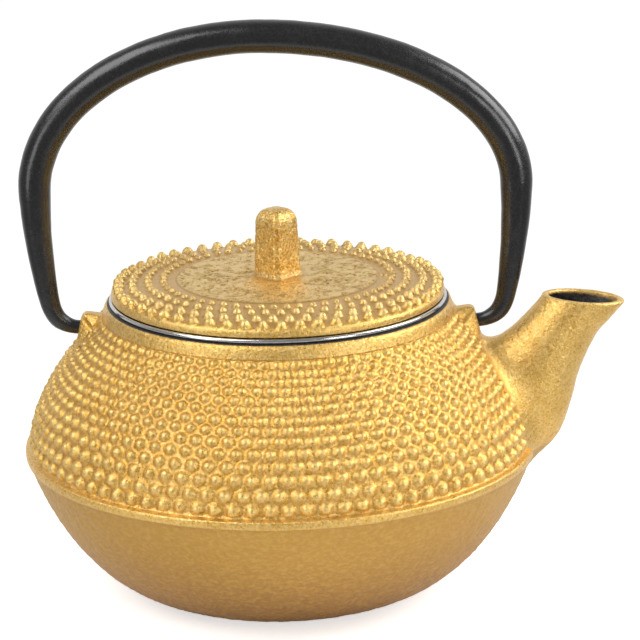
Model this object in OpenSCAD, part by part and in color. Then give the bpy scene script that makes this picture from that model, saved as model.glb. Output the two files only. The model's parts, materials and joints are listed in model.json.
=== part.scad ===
// Small cast iron teapot with a studded shoulder, a bail handle that swings on two
// ears, a lift-off lid and a lift-out steel infuser. Millimetres, +Z up. The origin
// is the centre of the flat foot, the spout points along +X, and the bail turns
// about a line parallel to X.

/* [Pot body] */
// Radius of the flat foot
foot_r = 25.3; // [24:0.1:27]
// Largest radius, on the smooth band
belly_r = 56.4; // [56:0.1:57]
// Height of the seam between the bowl and the shoulder
seam_z = 32.3; // [32:0.1:32.6]
// Height of the smooth band under the seam
band_h = 2; // [1:0.1:3]
// Radius of the shoulder where it leaves the seam
shoulder_r = 55.2; // [54.8:0.1:55.6]
// Wall thickness of the casting
wall = 2.8; // [2.4:0.1:3]
// Height of the neck's top face
neck_z = 64; // [63.5:0.1:64]
// Radius of the neck collar at its foot
neck_r = 38.4; // [38.2:0.1:38.8]
// Radius of the neck's bore
mouth_r = 33.6; // [33.5:0.1:34]

/* [Spout] */
// Wall thickness near the spout's lip
lip_wall = 1.5; // [1.4:0.1:1.9]
// Half width of the spout where it leaves the belly
root_w = 9.2; // [8.4:0.1:10]
// Half width of the spout at its lip
lip_w = 6.2; // [6:0.1:6.8]

/* [Ears and bail] */
// Width of each ear at its foot
ear_w = 9; // [8:0.5:10]
// Height of the bail's pivot line
pivot_z = 58.1; // [57.9:0.1:58.3]
// Radius of the bail's pins
pin_r = 1.5; // [1.4:0.05:1.6]
// Radial running clearance of each pin in its ear
pin_play = 0.08; // [0.04:0.01:0.1]
// Half distance between the bail's legs
leg_x = 52.1; // [51.8:0.1:52.4]
// Height where the straight legs meet the arch
leg_z = 88.7; // [87:0.1:90]
// Height of the arch's centreline
arch_z = 121.7; // [119:0.1:123]
// Offset of the arch's highest point, away from the spout
arch_off = 3.5; // [0:0.1:4]
// Radius of the bail's grip
grip_r = 3.6; // [3.3:0.1:3.7]

/* [Lid] */
// Outer radius of the lid
lid_r = 36.4; // [36:0.05:36.5]
// Height of the lid's seat
lid_z = 64.75; // [64.7:0.05:64.9]
// Radius of the raised disc in the middle
disc_r = 22.2; // [21:0.1:22.4]
// Height of the top of the knob
knob_z = 84.2; // [80:0.1:85]
// Half width of the knob across its chamfered edges, at its foot
knob_w = 4.95; // [4.6:0.05:5.4]
// Radius of the steam vent
vent_r = 1.1; // [0.7:0.1:1.3]

/* [Infuser] */
// Radius of the rolled bead on the rim
bead_r = 0.5; // [0.45:0.05:0.6]
// Radius of the bead's centreline
bead_c = 36.4; // [36.3:0.05:36.6]
// Outer radius of the rim's collar
collar_r = 33.1; // [33:0.05:33.2]
// Thickness of the steel sheet
sheet = 0.5; // [0.4:0.05:0.5]
// Height of the basket's underside
basket_z = 33; // [32.5:0.5:38]
// Outer radius at the bottom of the basket
basket_r = 31.4; // [30:0.1:31.8]

/* [Hidden] */
$fn = 96;
gold = [0.83, 0.63, 0.25];
black = [0.13, 0.13, 0.13];
steel = [0.80, 0.81, 0.82];
collar_z = 61.1;          // where the shoulder meets the neck collar
rim_z = neck_z + 0.1;     // underside of the infuser's rim

// Radius of the bowl at height z, and of the shoulder's mean surface
function bowl(z) = foot_r + (belly_r - 0.1 - foot_r) * pow(1 - pow(1 - z / seam_z, 1.22), 0.46);
function shoulder(z) = shoulder_r * pow(1 - pow((z - seam_z) / 63.5, 1.83), 1.38);
// A point of either curve, moved inward by t along its normal
function slope_b(z) = (bowl(z + 0.02) - bowl(z - 0.02)) / 0.04;
function slope_s(z) = (shoulder(z + 0.02) - shoulder(z)) / 0.02;
function in_b(z, t) = let (d = slope_b(z), s = sqrt(1 + d * d)) [bowl(z) - t / s, z + t * d / s];
function in_s(z, t) = let (d = slope_s(z), s = sqrt(1 + d * d)) [shoulder(z) - t / s, z + t * d / s];
bowl_zs = [0, 0.15, 0.5, 1.1, 2, 3.2, 4.8, 6.8, 9.2, 12, 15, 18, 21, 24, 27, seam_z - band_h];
shoulder_zs = [for (i = [0 : 13]) seam_z + i * (collar_z - seam_z) / 13];

// Smooth curve through a list of knots: s runs from 0 to the last index
function cr(a, b, c, d, t) =
    0.5 * (2 * b + (c - a) * t + (2 * a - 5 * b + 4 * c - d) * t * t + (3 * b - a - 3 * c + d) * t * t * t);
function along(k, s) =
    let (n = len(k) - 1, i = min(floor(s), n - 1))
    cr(k[max(i - 1, 0)], k[i], k[i + 1], k[min(i + 2, n)], s - i);

// Spout: the upper and the lower outline in the XZ plane, and the half width
spout_top = [[40, 44], [44.5, 52], [48.5, 54.3], [51.7, 56.6], [54.5, 59.4], [56.5, 61.6], [57.3, 62.6], [57.8, 63.3]];
spout_low = [[49, 21], [57, 27], [61.6, 32], [64.2, 39], [66.2, 46.8], [69.7, 54.6], [72.5, 57.9], [76, 62]];
spout_wid = [root_w, root_w, root_w - 0.4, root_w - 1, lip_w + 1.3, lip_w + 0.6, lip_w + 0.3, lip_w];
// Passage: its share of each section's length, and its half width
pass_len = [0.42, 0.44, 0.54, 0.66, 0.73, 0.75, 0.78, 0.82];
pass_wid = [4.2, 4.2, 4.2, 4.9, lip_w - lip_wall + 0.6, lip_w - lip_wall + 0.3, lip_w - lip_wall + 0.1, lip_w - lip_wall + 0.1];
function section(u, l, share, w, n) =
    let (c = (u + l) / 2, a = (u - l) / 2 * share)
    [for (j = [0 : n - 1]) let (f = 360 * j / n) [c[0] + a[0] * cos(f), -w * sin(f), c[1] + a[1] * cos(f)]];
spout_rings = [for (s = [0 : 0.25 : 7]) section(along(spout_top, s), along(spout_low, s), 1, along(spout_wid, s), 32)];
pass_rings = concat(
    [for (s = [0 : 0.5 : 7]) section(along(spout_top, s), along(spout_low, s), along(pass_len, s), along(pass_wid, s), 24)],
    [section(spout_top[7] + [0.4, 3], spout_low[7] + [0.4, 3], pass_len[7], pass_wid[7], 24)]);

// Bail: centreline and radius of one leg from the pin to the arch, then the arch
leg_path = [[43, pivot_z], [44.6, pivot_z + 0.05], [46.4, pivot_z + 0.65], [48.3, pivot_z + 2], [leg_x - 2.6, pivot_z + 4.3],
            [leg_x - 2, pivot_z + 6.9], [leg_x - 1.3, 69.5], [leg_x - 0.55, 76], [leg_x - 0.1, 82.5], [leg_x, leg_z]];
leg_rad = [pin_r - 0.15, pin_r - 0.05, 1.7, 1.95, 2.05, 2.2, 2.48, 2.84, 3.2, 3.5];
function leg_side(sx) = [for (s = [0 : 0.5 : 8.5]) let (p = along(leg_path, s)) [sx * p[0], p[1], along(leg_rad, s)]];
function back(v) = [for (i = [len(v) - 1 : -1 : 0]) v[i]];
arch = [for (a = [0 : 6 : 180]) [
    -arch_off + (leg_x + (a <= 90 ? arch_off : -arch_off)) * cos(a),
    leg_z + (arch_z - leg_z) * sin(a),
    3.5 + (grip_r - 3.5) * min(1, 3 * sin(a))]];
bail = concat(leg_side(1), arch, back(leg_side(-1)));
function bail_dir(i) =
    let (a = bail[max(i - 1, 0)], b = bail[min(i + 1, len(bail) - 1)], d = [b[0] - a[0], b[1] - a[1]]) d / norm(d);
bail_rings = [for (i = [0 : len(bail) - 1]) let (p = bail[i], d = i == 0 ? [1, 0] : i == len(bail) - 1 ? [1, 0] : bail_dir(i))
    [for (j = [0 : 13]) let (f = 360 * j / 14)
        [p[0] - p[2] * cos(f) * d[1], -p[2] * sin(f), p[1] + p[2] * cos(f) * d[0]]]];

// Knob: a square post set corner to corner, with chamfered edges and a pillow top
function post(w, z) = [for (q = [0 : 3]) each [for (e = [-1, 1])
    [w * cos(90 * q) - e * 0.22 * w * sin(90 * q),
     w * sin(90 * q) + e * 0.22 * w * cos(90 * q), z]]];
knob_rings = [post(knob_w + 1.5, 67), post(knob_w + 1.4, 68.9), post(knob_w + 0.5, 69.4), post(knob_w, 70.4),
              post(knob_w - 0.4, knob_z - 3), post(knob_w - 0.7, knob_z - 1.7), post(knob_w - 1.35, knob_z - 0.8),
              post(knob_w - 2.3, knob_z - 0.25), post(knob_w - 3.6, knob_z)];

// Closed solid through a list of rings
module loft(rings) {
    n = len(rings[0]);
    m = len(rings);
    polyhedron(
        points = [for (r = rings) each r],
        faces = concat(
            [[for (j = [0 : n - 1]) j]],
            [[for (j = [n - 1 : -1 : 0]) (m - 1) * n + j]],
            [for (i = [0 : m - 2], j = [0 : n - 1]) each
                [[i * n + j, (i + 1) * n + j, (i + 1) * n + (j + 1) % n],
                 [i * n + j, (i + 1) * n + (j + 1) % n, i * n + (j + 1) % n]]]),
        convexity = 6);
}

module pot_shell() {
    rotate_extrude() polygon(concat(
        [[0, 0]],
        [for (z = bowl_zs) [bowl(z), z]],
        [[belly_r, seam_z - band_h + 0.2], [belly_r, seam_z - 0.1]],
        [for (z = shoulder_zs) [shoulder(z), z]],
        [[neck_r, collar_z + 0.3], [neck_r - 0.6, neck_z - 0.6], [neck_r - 1, neck_z], [0, neck_z]]));
}

module pot_cavity() {
    rotate_extrude() polygon(concat(
        [[0, wall + 0.3], [24, wall + 0.2]],
        [for (i = [1 : len(bowl_zs) - 1]) in_b(bowl_zs[i], wall)],
        [[belly_r - wall - 0.2, seam_z - 0.6]],
        [for (i = [1 : 11]) in_s(shoulder_zs[i], wall)],
        [[mouth_r, 59.2], [mouth_r, neck_z + 1], [0, neck_z + 1]]));
}

// Ear: a ridge on the shoulder in the spout's plane, wide at its foot and narrow at
// its top, drilled for the bail's pin
module ear() {
    half = [[ear_w / 2, 50], [ear_w / 2, 54.6], [3.4, 57.4], [2.6, 59.6], [1.7, 60.9], [0.9, 61.6]];
    intersection() {
        translate([0, ear_w / 2, 0]) rotate([90, 0, 0]) linear_extrude(ear_w)
            polygon([[37.6, 58.2], [36.9, 60.7], [41.6, 61.4], [42.6, 61.15], [43.1, 60.4], [44.4, 54.8], [42.6, 53.2]]);
        translate([30, 0, 0]) rotate([90, 0, 90]) linear_extrude(20)
            polygon(concat(half, back([for (p = half) [-p[0], p[1]]])));
    }
}

module pot_body() {
    color(gold) difference() {
        union() {
            pot_shell();
            loft(spout_rings);
            ear();
            mirror([1, 0, 0]) ear();
        }
        pot_cavity();
        loft(pass_rings);
        for (s = [0, 180]) rotate([0, 0, s]) translate([39.3, 0, pivot_z]) rotate([0, 90, 0])
            cylinder(r = pin_r + pin_play, h = 7, $fn = 48);
    }
}

module bail_handle() {
    color(black) union() {
        loft(bail_rings);
        for (s = [0, 180]) rotate([0, 0, s]) translate([39.7, 0, pivot_z]) rotate([0, 90, 0])
            cylinder(r = pin_r, h = 4.6, $fn = 48);
    }
}

module lid() {
    color(gold) difference() {
        union() {
            rotate_extrude() polygon([
                [0, lid_z + 0.6], [30.6, lid_z + 0.6], [31, 60], [31.9, 60], [32.3, lid_z],
                [lid_r - 1.5, lid_z], [lid_r - 0.9, lid_z + 0.5], [lid_r - 0.3, lid_z + 0.7], [lid_r, lid_z + 1],
                [lid_r, lid_z + 1.7], [lid_r - 0.35, lid_z + 2.2], [lid_r - 1, lid_z + 2.4], [34, 67.35], [30, 68.2], [26, 68.6], [disc_r, 68.6], [disc_r - 0.4, 68.9], [12, 69.1], [0, 69.2]]);
            loft(knob_rings);
        }
        translate([23.3, 0, 60]) cylinder(r = vent_r, h = 12, $fn = 32);
    }
}

// Pressed ring with a rolled bead outside and a short collar down the neck
module infuser_rim() {
    color(steel) union() {
        rotate_extrude() translate([bead_c, rim_z + bead_r - 0.06]) circle(r = bead_r, $fn = 32);
        rotate_extrude() polygon([
            [collar_r - sheet, 59.4], [collar_r, 59.4], [collar_r, rim_z], [bead_c, rim_z],
            [bead_c, rim_z + sheet], [collar_r - sheet, rim_z + sheet]]);
    }
}

// Woven side wall, slightly tapered, spot welded inside the collar
module infuser_wall_mesh() {
    color(steel) rotate_extrude() polygon([
        [basket_r - 0.5, basket_z + 1], [basket_r, basket_z + 1],
        [collar_r - sheet - 0.02, 59.4], [collar_r - sheet - 0.02, 61.5],
        [collar_r - sheet - 0.52, 61.5], [collar_r - sheet - 0.52, 59.4]]);
}

module infuser_bottom_mesh() {
    color(steel) rotate_extrude() polygon([
        [0, basket_z + 0.5], [basket_r - 0.7, basket_z + 0.2], [basket_r - 0.7, basket_z + 0.7], [0, basket_z + 1]]);
}

// Folded band that clamps the wall to the bottom
module infuser_bottom_band() {
    color(steel) rotate_extrude() polygon([
        [basket_r - 2, basket_z], [basket_r + 0.3, basket_z], [basket_r + 0.55, basket_z + 3], [basket_r + 0.15, basket_z + 3],
        [basket_r + 0.02, basket_z + 0.98], [basket_r - 0.68, basket_z + 0.98], [basket_r - 0.68, basket_z + 0.18], [basket_r - 2, basket_z + 0.18]]);
}

pot_body();
bail_handle();
lid();
infuser_rim();
infuser_wall_mesh();
infuser_bottom_mesh();
infuser_bottom_band();
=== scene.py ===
import json
import math

import bmesh
import bpy
import numpy as np
from mathutils import Matrix, Vector
from mathutils.geometry import delaunay_2d_cdt


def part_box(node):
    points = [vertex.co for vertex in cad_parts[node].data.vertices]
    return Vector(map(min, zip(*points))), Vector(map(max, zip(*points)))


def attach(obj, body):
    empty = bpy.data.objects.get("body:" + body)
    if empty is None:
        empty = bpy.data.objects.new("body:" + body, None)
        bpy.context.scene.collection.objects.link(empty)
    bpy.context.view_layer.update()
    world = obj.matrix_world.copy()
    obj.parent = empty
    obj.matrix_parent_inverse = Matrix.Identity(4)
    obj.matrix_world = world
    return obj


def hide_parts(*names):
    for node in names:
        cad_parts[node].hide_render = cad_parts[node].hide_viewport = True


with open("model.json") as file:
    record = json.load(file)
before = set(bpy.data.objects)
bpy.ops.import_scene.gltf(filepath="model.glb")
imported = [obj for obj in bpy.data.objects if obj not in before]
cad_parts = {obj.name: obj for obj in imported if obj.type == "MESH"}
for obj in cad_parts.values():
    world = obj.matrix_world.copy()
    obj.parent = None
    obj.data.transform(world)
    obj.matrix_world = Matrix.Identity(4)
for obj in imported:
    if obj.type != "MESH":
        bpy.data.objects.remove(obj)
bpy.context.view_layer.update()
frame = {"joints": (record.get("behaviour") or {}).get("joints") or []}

# ---------------------------------------------------------------------------
# Sizes, in millimetres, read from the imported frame
# ---------------------------------------------------------------------------
TAU = 2 * math.pi


def span(node):
    lo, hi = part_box(node)
    return np.array(lo) * 1000, np.array(hi) * 1000


pot_lo, pot_hi = span("pot_body")
bail_lo, bail_hi = span("bail_handle")
lid_lo, lid_hi = span("lid")
rim_lo, rim_hi = span("infuser_rim")
mesh_lo, mesh_hi = span("infuser_wall_mesh")
disc_lo, disc_hi = span("infuser_bottom_mesh")
fold_lo, fold_hi = span("infuser_bottom_band")
joint = {j["name"]: j for j in frame["joints"]}

BELLY = -pot_lo[0]
FLOOR = pot_lo[2]
FOOT = 25.3
SEAM = 32.3
WALL = 2.8
NECK_TOP = rim_lo[2] + (64.0 - 59.4)
BORE = 33.6
PIVOT = joint["bail_swing"]["pos_m"][2] * 1000
TIP_X = pot_hi[0]
LID_R = (lid_hi[0] - lid_lo[0]) / 2
KNOB_TOP = lid_hi[2]
LID_FOOT = lid_lo[2]
SEAT = LID_FOOT + 4.75
ARCH_TOP = bail_hi[2]
BEAD = 0.5
BEAD_C = (rim_hi[0] - rim_lo[0]) / 2 - BEAD
BEAD_Z = rim_hi[2] - BEAD
RIM_Z = BEAD_Z - BEAD + 0.06


# ---------------------------------------------------------------------------
# Repeatable noise
# ---------------------------------------------------------------------------
def _hash(ix, iy, iz, seed):
    with np.errstate(over="ignore"):
        h = (ix.astype(np.uint32) * np.uint32(374761393)
             + iy.astype(np.uint32) * np.uint32(668265263)
             + iz.astype(np.uint32) * np.uint32(2246822519)
             + np.full(ix.shape, (seed * 3266489917) & 0xFFFFFFFF, np.uint32))
        h = (h ^ (h >> np.uint32(15))) * np.uint32(2246822519)
        h = (h ^ (h >> np.uint32(13))) * np.uint32(3266489917)
        h = h ^ (h >> np.uint32(16))
    return h.astype(np.float64) / 2147483647.5 - 1


def vnoise(p, seed=0):
    base = np.floor(p)
    f = p - base
    f = f * f * f * (f * (f * 6 - 15) + 10)
    ix, iy, iz = (base[..., k].astype(np.int64) for k in range(3))
    out = 0.0
    for dx in (0, 1):
        wx = f[..., 0] if dx else 1 - f[..., 0]
        for dy in (0, 1):
            wy = f[..., 1] if dy else 1 - f[..., 1]
            for dz in (0, 1):
                wz = f[..., 2] if dz else 1 - f[..., 2]
                out = out + wx * wy * wz * _hash(ix + dx, iy + dy, iz + dz, seed)
    return out


def fbm(p, seed=0, octaves=3, gain=0.5):
    out, a = 0.0, 1.0
    for k in range(octaves):
        out = out + a * vnoise(p, seed + 17 * k)
        p = p * 2.03 + 11.7
        a *= gain
    return out


def smooth(x, a, b):
    t = np.clip((x - a) / (b - a), 0, 1)
    return t * t * (3 - 2 * t)


def knots(k, t):
    """A smooth curve through a list of knots; t runs from 0 to the last index."""
    k = np.asarray(k, float)
    t = np.asarray(t, float)
    n = len(k) - 1
    i = np.clip(np.floor(t).astype(int), 0, n - 1)
    f = t - i
    if k.ndim > 1:
        f = f[..., None]
    a, b, c, d = k[np.maximum(i - 1, 0)], k[i], k[i + 1], k[np.minimum(i + 2, n)]
    return 0.5 * (2 * b + (c - a) * f + (2 * a - 5 * b + 4 * c - d) * f ** 2
                  + (3 * b - a - 3 * c + d) * f ** 3)


# ---------------------------------------------------------------------------
# Mesh building
# ---------------------------------------------------------------------------
class Shell:
    """Collects the points and faces of one piece, in millimetres."""

    def __init__(self):
        self.co, self.marks, self.tris, self.quads, self.n = [], [], [], [], 0

    def points(self, p, inside=0.0, relief=0.5):
        p = np.asarray(p, float)
        flat = p.reshape(-1, 3)
        marks = np.zeros((len(flat), 2))
        marks[:, 0] = np.broadcast_to(inside, p.shape[:-1]).reshape(-1)
        marks[:, 1] = np.broadcast_to(relief, p.shape[:-1]).reshape(-1)
        self.co.append(flat)
        self.marks.append(marks)
        ids = np.arange(self.n, self.n + len(flat)).reshape(p.shape[:-1])
        self.n += len(flat)
        return ids

    def grid(self, ids, closed=False, flip=False, keep=None):
        """Quads over a table of ids. keep says which cells stay."""
        if closed:
            ids = np.concatenate([ids, ids[:, :1]], 1)
        q = np.stack([ids[:-1, :-1], ids[:-1, 1:], ids[1:, 1:], ids[1:, :-1]], -1)
        if keep is not None:
            q = q[keep]
        q = q.reshape(-1, 4)
        self.quads.append(q[:, ::-1] if flip else q)

    def bridge(self, a, b, flip=False):
        """Triangles between two closed rings of different counts that start at one angle."""
        n, m, i, j, out = len(a), len(b), 0, 0, []
        while i < n or j < m:
            if j >= m or (i < n and (i + 1) * m <= (j + 1) * n):
                out.append((a[i % n], a[(i + 1) % n], b[j % m]))
                i += 1
            else:
                out.append((a[i % n], b[(j + 1) % m], b[j % m]))
                j += 1
        self.face3(out, flip)

    def face3(self, t, flip=False):
        t = np.asarray(t, int).reshape(-1, 3)
        self.tris.append(t[:, ::-1] if flip else t)

    def fan(self, ring, centre, flip=False):
        """Closes a ring on one centre id. The ring runs as the lower row of a grid does."""
        self.face3(np.stack([ring, np.roll(ring, -1), np.full(len(ring), centre)], 1), flip)

    def build(self, name, material, body, nodes, flat_angle=None):
        co = np.concatenate(self.co) * 0.001
        marks = np.concatenate(self.marks)
        quads = np.concatenate(self.quads) if self.quads else np.zeros((0, 4), int)
        tris = np.concatenate(self.tris) if self.tris else np.zeros((0, 3), int)
        used = np.zeros(len(co), bool)
        used[quads.reshape(-1)] = True
        used[tris.reshape(-1)] = True
        new = np.cumsum(used) - 1
        co, marks = co[used], marks[used]
        quads, tris = new[quads], new[tris]
        mesh = bpy.data.meshes.new(name)
        mesh.vertices.add(len(co))
        mesh.vertices.foreach_set("co", co.astype(np.float32).reshape(-1))
        loops = np.concatenate([quads.reshape(-1), tris.reshape(-1)])
        counts = np.concatenate([np.full(len(quads), 4), np.full(len(tris), 3)])
        mesh.loops.add(len(loops))
        mesh.loops.foreach_set("vertex_index", loops.astype(np.int32))
        mesh.polygons.add(len(counts))
        starts = np.concatenate([[0], np.cumsum(counts)[:-1]])
        mesh.polygons.foreach_set("loop_start", starts.astype(np.int32))
        mesh.update(calc_edges=True)
        mesh.validate()
        faces = bmesh.new()
        faces.from_mesh(mesh)
        bmesh.ops.recalc_face_normals(faces, faces=faces.faces)
        faces.to_mesh(mesh)
        faces.free()
        mesh.shade_smooth()
        if flat_angle:
            mesh.set_sharp_from_angle(angle=math.radians(flat_angle))
        for k, key in enumerate(("inside", "relief")):
            a = mesh.attributes.new(key, "FLOAT", "POINT")
            a.data.foreach_set("value", marks[:, k].astype(np.float32))
        o = bpy.data.objects.new(name, mesh)
        bpy.context.scene.collection.objects.link(o)
        mesh.materials.append(material)
        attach(o, body)
        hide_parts(*nodes)
        return o


def in_loop(p, loop):
    """Which points lie inside a closed polygon."""
    a, b = loop, np.roll(loop, -1, 0)
    inside = np.zeros(len(p), bool)
    for s in range(0, len(p), 20000):
        q = p[s:s + 20000]
        x, y = q[:, :1], q[:, 1:]
        cross = (a[None, :, 1] > y) != (b[None, :, 1] > y)
        with np.errstate(divide="ignore", invalid="ignore"):
            at = (b[None, :, 0] - a[None, :, 0]) * (y - a[None, :, 1]) / (b[None, :, 1] - a[None, :, 1]) + a[None, :, 0]
        inside[s:s + 20000] = (cross & (x < at)).sum(1) % 2 == 1
    return inside


def to_loop(p, loop):
    """Distance from points to a closed polygon's edges."""
    a, b = loop, np.roll(loop, -1, 0)
    d = b - a
    length = np.maximum((d ** 2).sum(1), 1e-12)
    out = np.full(len(p), 1e9)
    for s in range(0, len(p), 8000):
        q = p[s:s + 8000, None, :]
        t = np.clip(((q - a) * d).sum(2) / length, 0, 1)
        out[s:s + 8000] = np.sqrt((((a + t[..., None] * d) - q) ** 2).sum(2).min(1))
    return out


def punch(shell, ids, u, s, window, loops, near, place, flip=False):
    """Fills a window of the grid ids, whose columns lie at u and rows at s, around holes.
    loops holds (points in u and s, their ids) for each hole's edge."""
    i0, i1, j0, j1 = window
    jj, ii = np.meshgrid(np.arange(j0, j1 + 1), np.arange(i0, i1 + 1))
    p = np.stack([u[jj], s[ii]], -1).reshape(-1, 2)
    border = ((ii == i0) | (ii == i1) | (jj == j0) | (jj == j1)).reshape(-1)
    keep = np.ones(len(p), bool)
    for loop, _ in loops:
        keep &= ~in_loop(p, loop) & (to_loop(p, loop) > near)
    keep |= border
    known = [ids[ii, jj].reshape(-1)[keep]]
    pts = [p[keep]]
    edges, at = [], int(keep.sum())
    for loop, lid in loops:
        m = len(loop)
        edges += [(at + k, at + (k + 1) % m) for k in range(m)]
        pts.append(loop)
        known.append(lid)
        at += m
    pts, known = np.concatenate(pts), np.concatenate(known)
    got = delaunay_2d_cdt([Vector((float(x), float(y))) for x, y in pts], edges, [], 0, 1e-7)
    verts, faces, origin = got[0], got[2], got[3]
    back = []
    for v, o in zip(verts, origin):
        if o:
            back.append(known[o[0]])
        else:
            back.append(int(place(np.array([v.x]), np.array([v.y]))[0]))
    back = np.array(back)
    v2 = np.array([(v.x, v.y) for v in verts])
    tri = np.array([f for f in faces if len(f) == 3], int)
    mid = v2[tri].mean(1)
    ok = np.ones(len(tri), bool)
    for loop, _ in loops:
        ok &= ~in_loop(mid, loop)
    a, b, c = (v2[tri[:, k]] for k in range(3))
    area = (b[:, 0] - a[:, 0]) * (c[:, 1] - a[:, 1]) - (b[:, 1] - a[:, 1]) * (c[:, 0] - a[:, 0])
    ok &= np.abs(area) > 1e-9
    tri, area = tri[ok], area[ok]
    tri[area < 0] = tri[area < 0][:, ::-1]
    shell.face3(back[tri], flip)


def revolve(profile, n, lift=0.0):
    """Points of a profile of (r, z) turned about Z: a table of rows by columns."""
    profile = np.asarray(profile, float)
    a = np.arange(n) / n * TAU + lift
    r, z = profile[:, 0][:, None], profile[:, 1][:, None]
    return np.stack([r * np.cos(a), r * np.sin(a), np.broadcast_to(z, (len(profile), n))], -1)


def arc(cx, cz, r, a0, a1, n):
    a = np.radians(np.linspace(a0, a1, n))
    return [(cx + r * math.cos(t), cz + r * math.sin(t)) for t in a]


def resample(p, step, ends=True):
    p = np.asarray(p, float)
    s = np.concatenate([[0], np.cumsum(np.sqrt((np.diff(p, axis=0) ** 2).sum(1)))])
    n = max(2, int(round(s[-1] / step)) + 1)
    t = np.linspace(0, s[-1], n)
    return np.stack([np.interp(t, s, p[:, k]) for k in range(p.shape[1])], 1)


rng = np.random.default_rng(7)


# ---------------------------------------------------------------------------
# Materials
# ---------------------------------------------------------------------------
class Nodes:
    def __init__(self, name):
        self.mat = bpy.data.materials.new(name)
        self.mat.use_nodes = True
        self.nt = self.mat.node_tree
        self.nt.nodes.clear()
        self.out = self.nt.nodes.new("ShaderNodeOutputMaterial")
        self.bsdf = self.nt.nodes.new("ShaderNodeBsdfPrincipled")
        self.nt.links.new(self.bsdf.outputs[0], self.out.inputs[0])
        self.coord = self.nt.nodes.new("ShaderNodeTexCoord").outputs["Object"]

    def put(self, socket, value):
        if hasattr(value, "is_linked") or hasattr(value, "links"):
            self.nt.links.new(value, socket)
        else:
            socket.default_value = value

    def set(self, **values):
        for key, v in values.items():
            self.put(self.bsdf.inputs[key.replace("_", " ").title().replace("Ior", "IOR")], v)

    def math(self, op, a, b=0.0, clamp=False):
        n = self.nt.nodes.new("ShaderNodeMath")
        n.operation, n.use_clamp = op, clamp
        self.put(n.inputs[0], a)
        self.put(n.inputs[1], b)
        return n.outputs[0]

    def scaled(self, x, y, z, vector=None):
        n = self.nt.nodes.new("ShaderNodeMapping")
        n.inputs["Scale"].default_value = (x, y, z)
        self.nt.links.new(vector or self.coord, n.inputs["Vector"])
        return n.outputs[0]

    def noise(self, scale, detail=2.0, rough=0.5, vector=None, distortion=0.0):
        n = self.nt.nodes.new("ShaderNodeTexNoise")
        n.inputs["Scale"].default_value = scale
        n.inputs["Detail"].default_value = detail
        n.inputs["Roughness"].default_value = rough
        n.inputs["Distortion"].default_value = distortion
        self.nt.links.new(vector or self.coord, n.inputs["Vector"])
        return n.outputs[0]

    def cells(self, scale, vector=None, feature="F1"):
        n = self.nt.nodes.new("ShaderNodeTexVoronoi")
        n.feature = feature
        n.inputs["Scale"].default_value = scale
        self.nt.links.new(vector or self.coord, n.inputs["Vector"])
        return n.outputs["Distance"]

    def ramp(self, fac, stops, smoothly=True):
        n = self.nt.nodes.new("ShaderNodeValToRGB")
        n.color_ramp.interpolation = "EASE" if smoothly else "LINEAR"
        e = n.color_ramp.elements
        while len(e) < len(stops):
            e.new(0.5)
        for k, (pos, col) in enumerate(stops):
            e[k].position = pos
            e[k].color = (*col, 1) if hasattr(col, "__len__") else (col, col, col, 1)
        self.nt.links.new(fac, n.inputs[0])
        return n.outputs[0]

    def mix(self, fac, a, b, mode="MIX"):
        n = self.nt.nodes.new("ShaderNodeMix")
        n.data_type, n.blend_type = "RGBA", mode
        self.put(n.inputs[0], fac)
        for socket, v in ((n.inputs[6], a), (n.inputs[7], b)):
            if isinstance(v, tuple):
                socket.default_value = (*v, 1)
            else:
                self.put(socket, v)
        return n.outputs[2]

    def span(self, value, a, b, c, d):
        n = self.nt.nodes.new("ShaderNodeMapRange")
        n.interpolation_type = "SMOOTHSTEP"
        self.put(n.inputs[0], value)
        for k, v in zip((1, 2, 3, 4), (a, b, c, d)):
            self.put(n.inputs[k], v)
        return n.outputs[0]

    def attribute(self, name):
        n = self.nt.nodes.new("ShaderNodeAttribute")
        n.attribute_name = name
        return n.outputs["Fac"]

    def axis(self, k):
        n = self.nt.nodes.new("ShaderNodeSeparateXYZ")
        self.nt.links.new(self.coord, n.inputs[0])
        return n.outputs[k]

    def bump(self, height, strength, distance, normal=None):
        n = self.nt.nodes.new("ShaderNodeBump")
        n.inputs["Strength"].default_value = strength
        n.inputs["Distance"].default_value = distance
        self.nt.links.new(height, n.inputs["Height"])
        if normal is not None:
            self.nt.links.new(normal, n.inputs["Normal"])
        return n.outputs[0]


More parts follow.
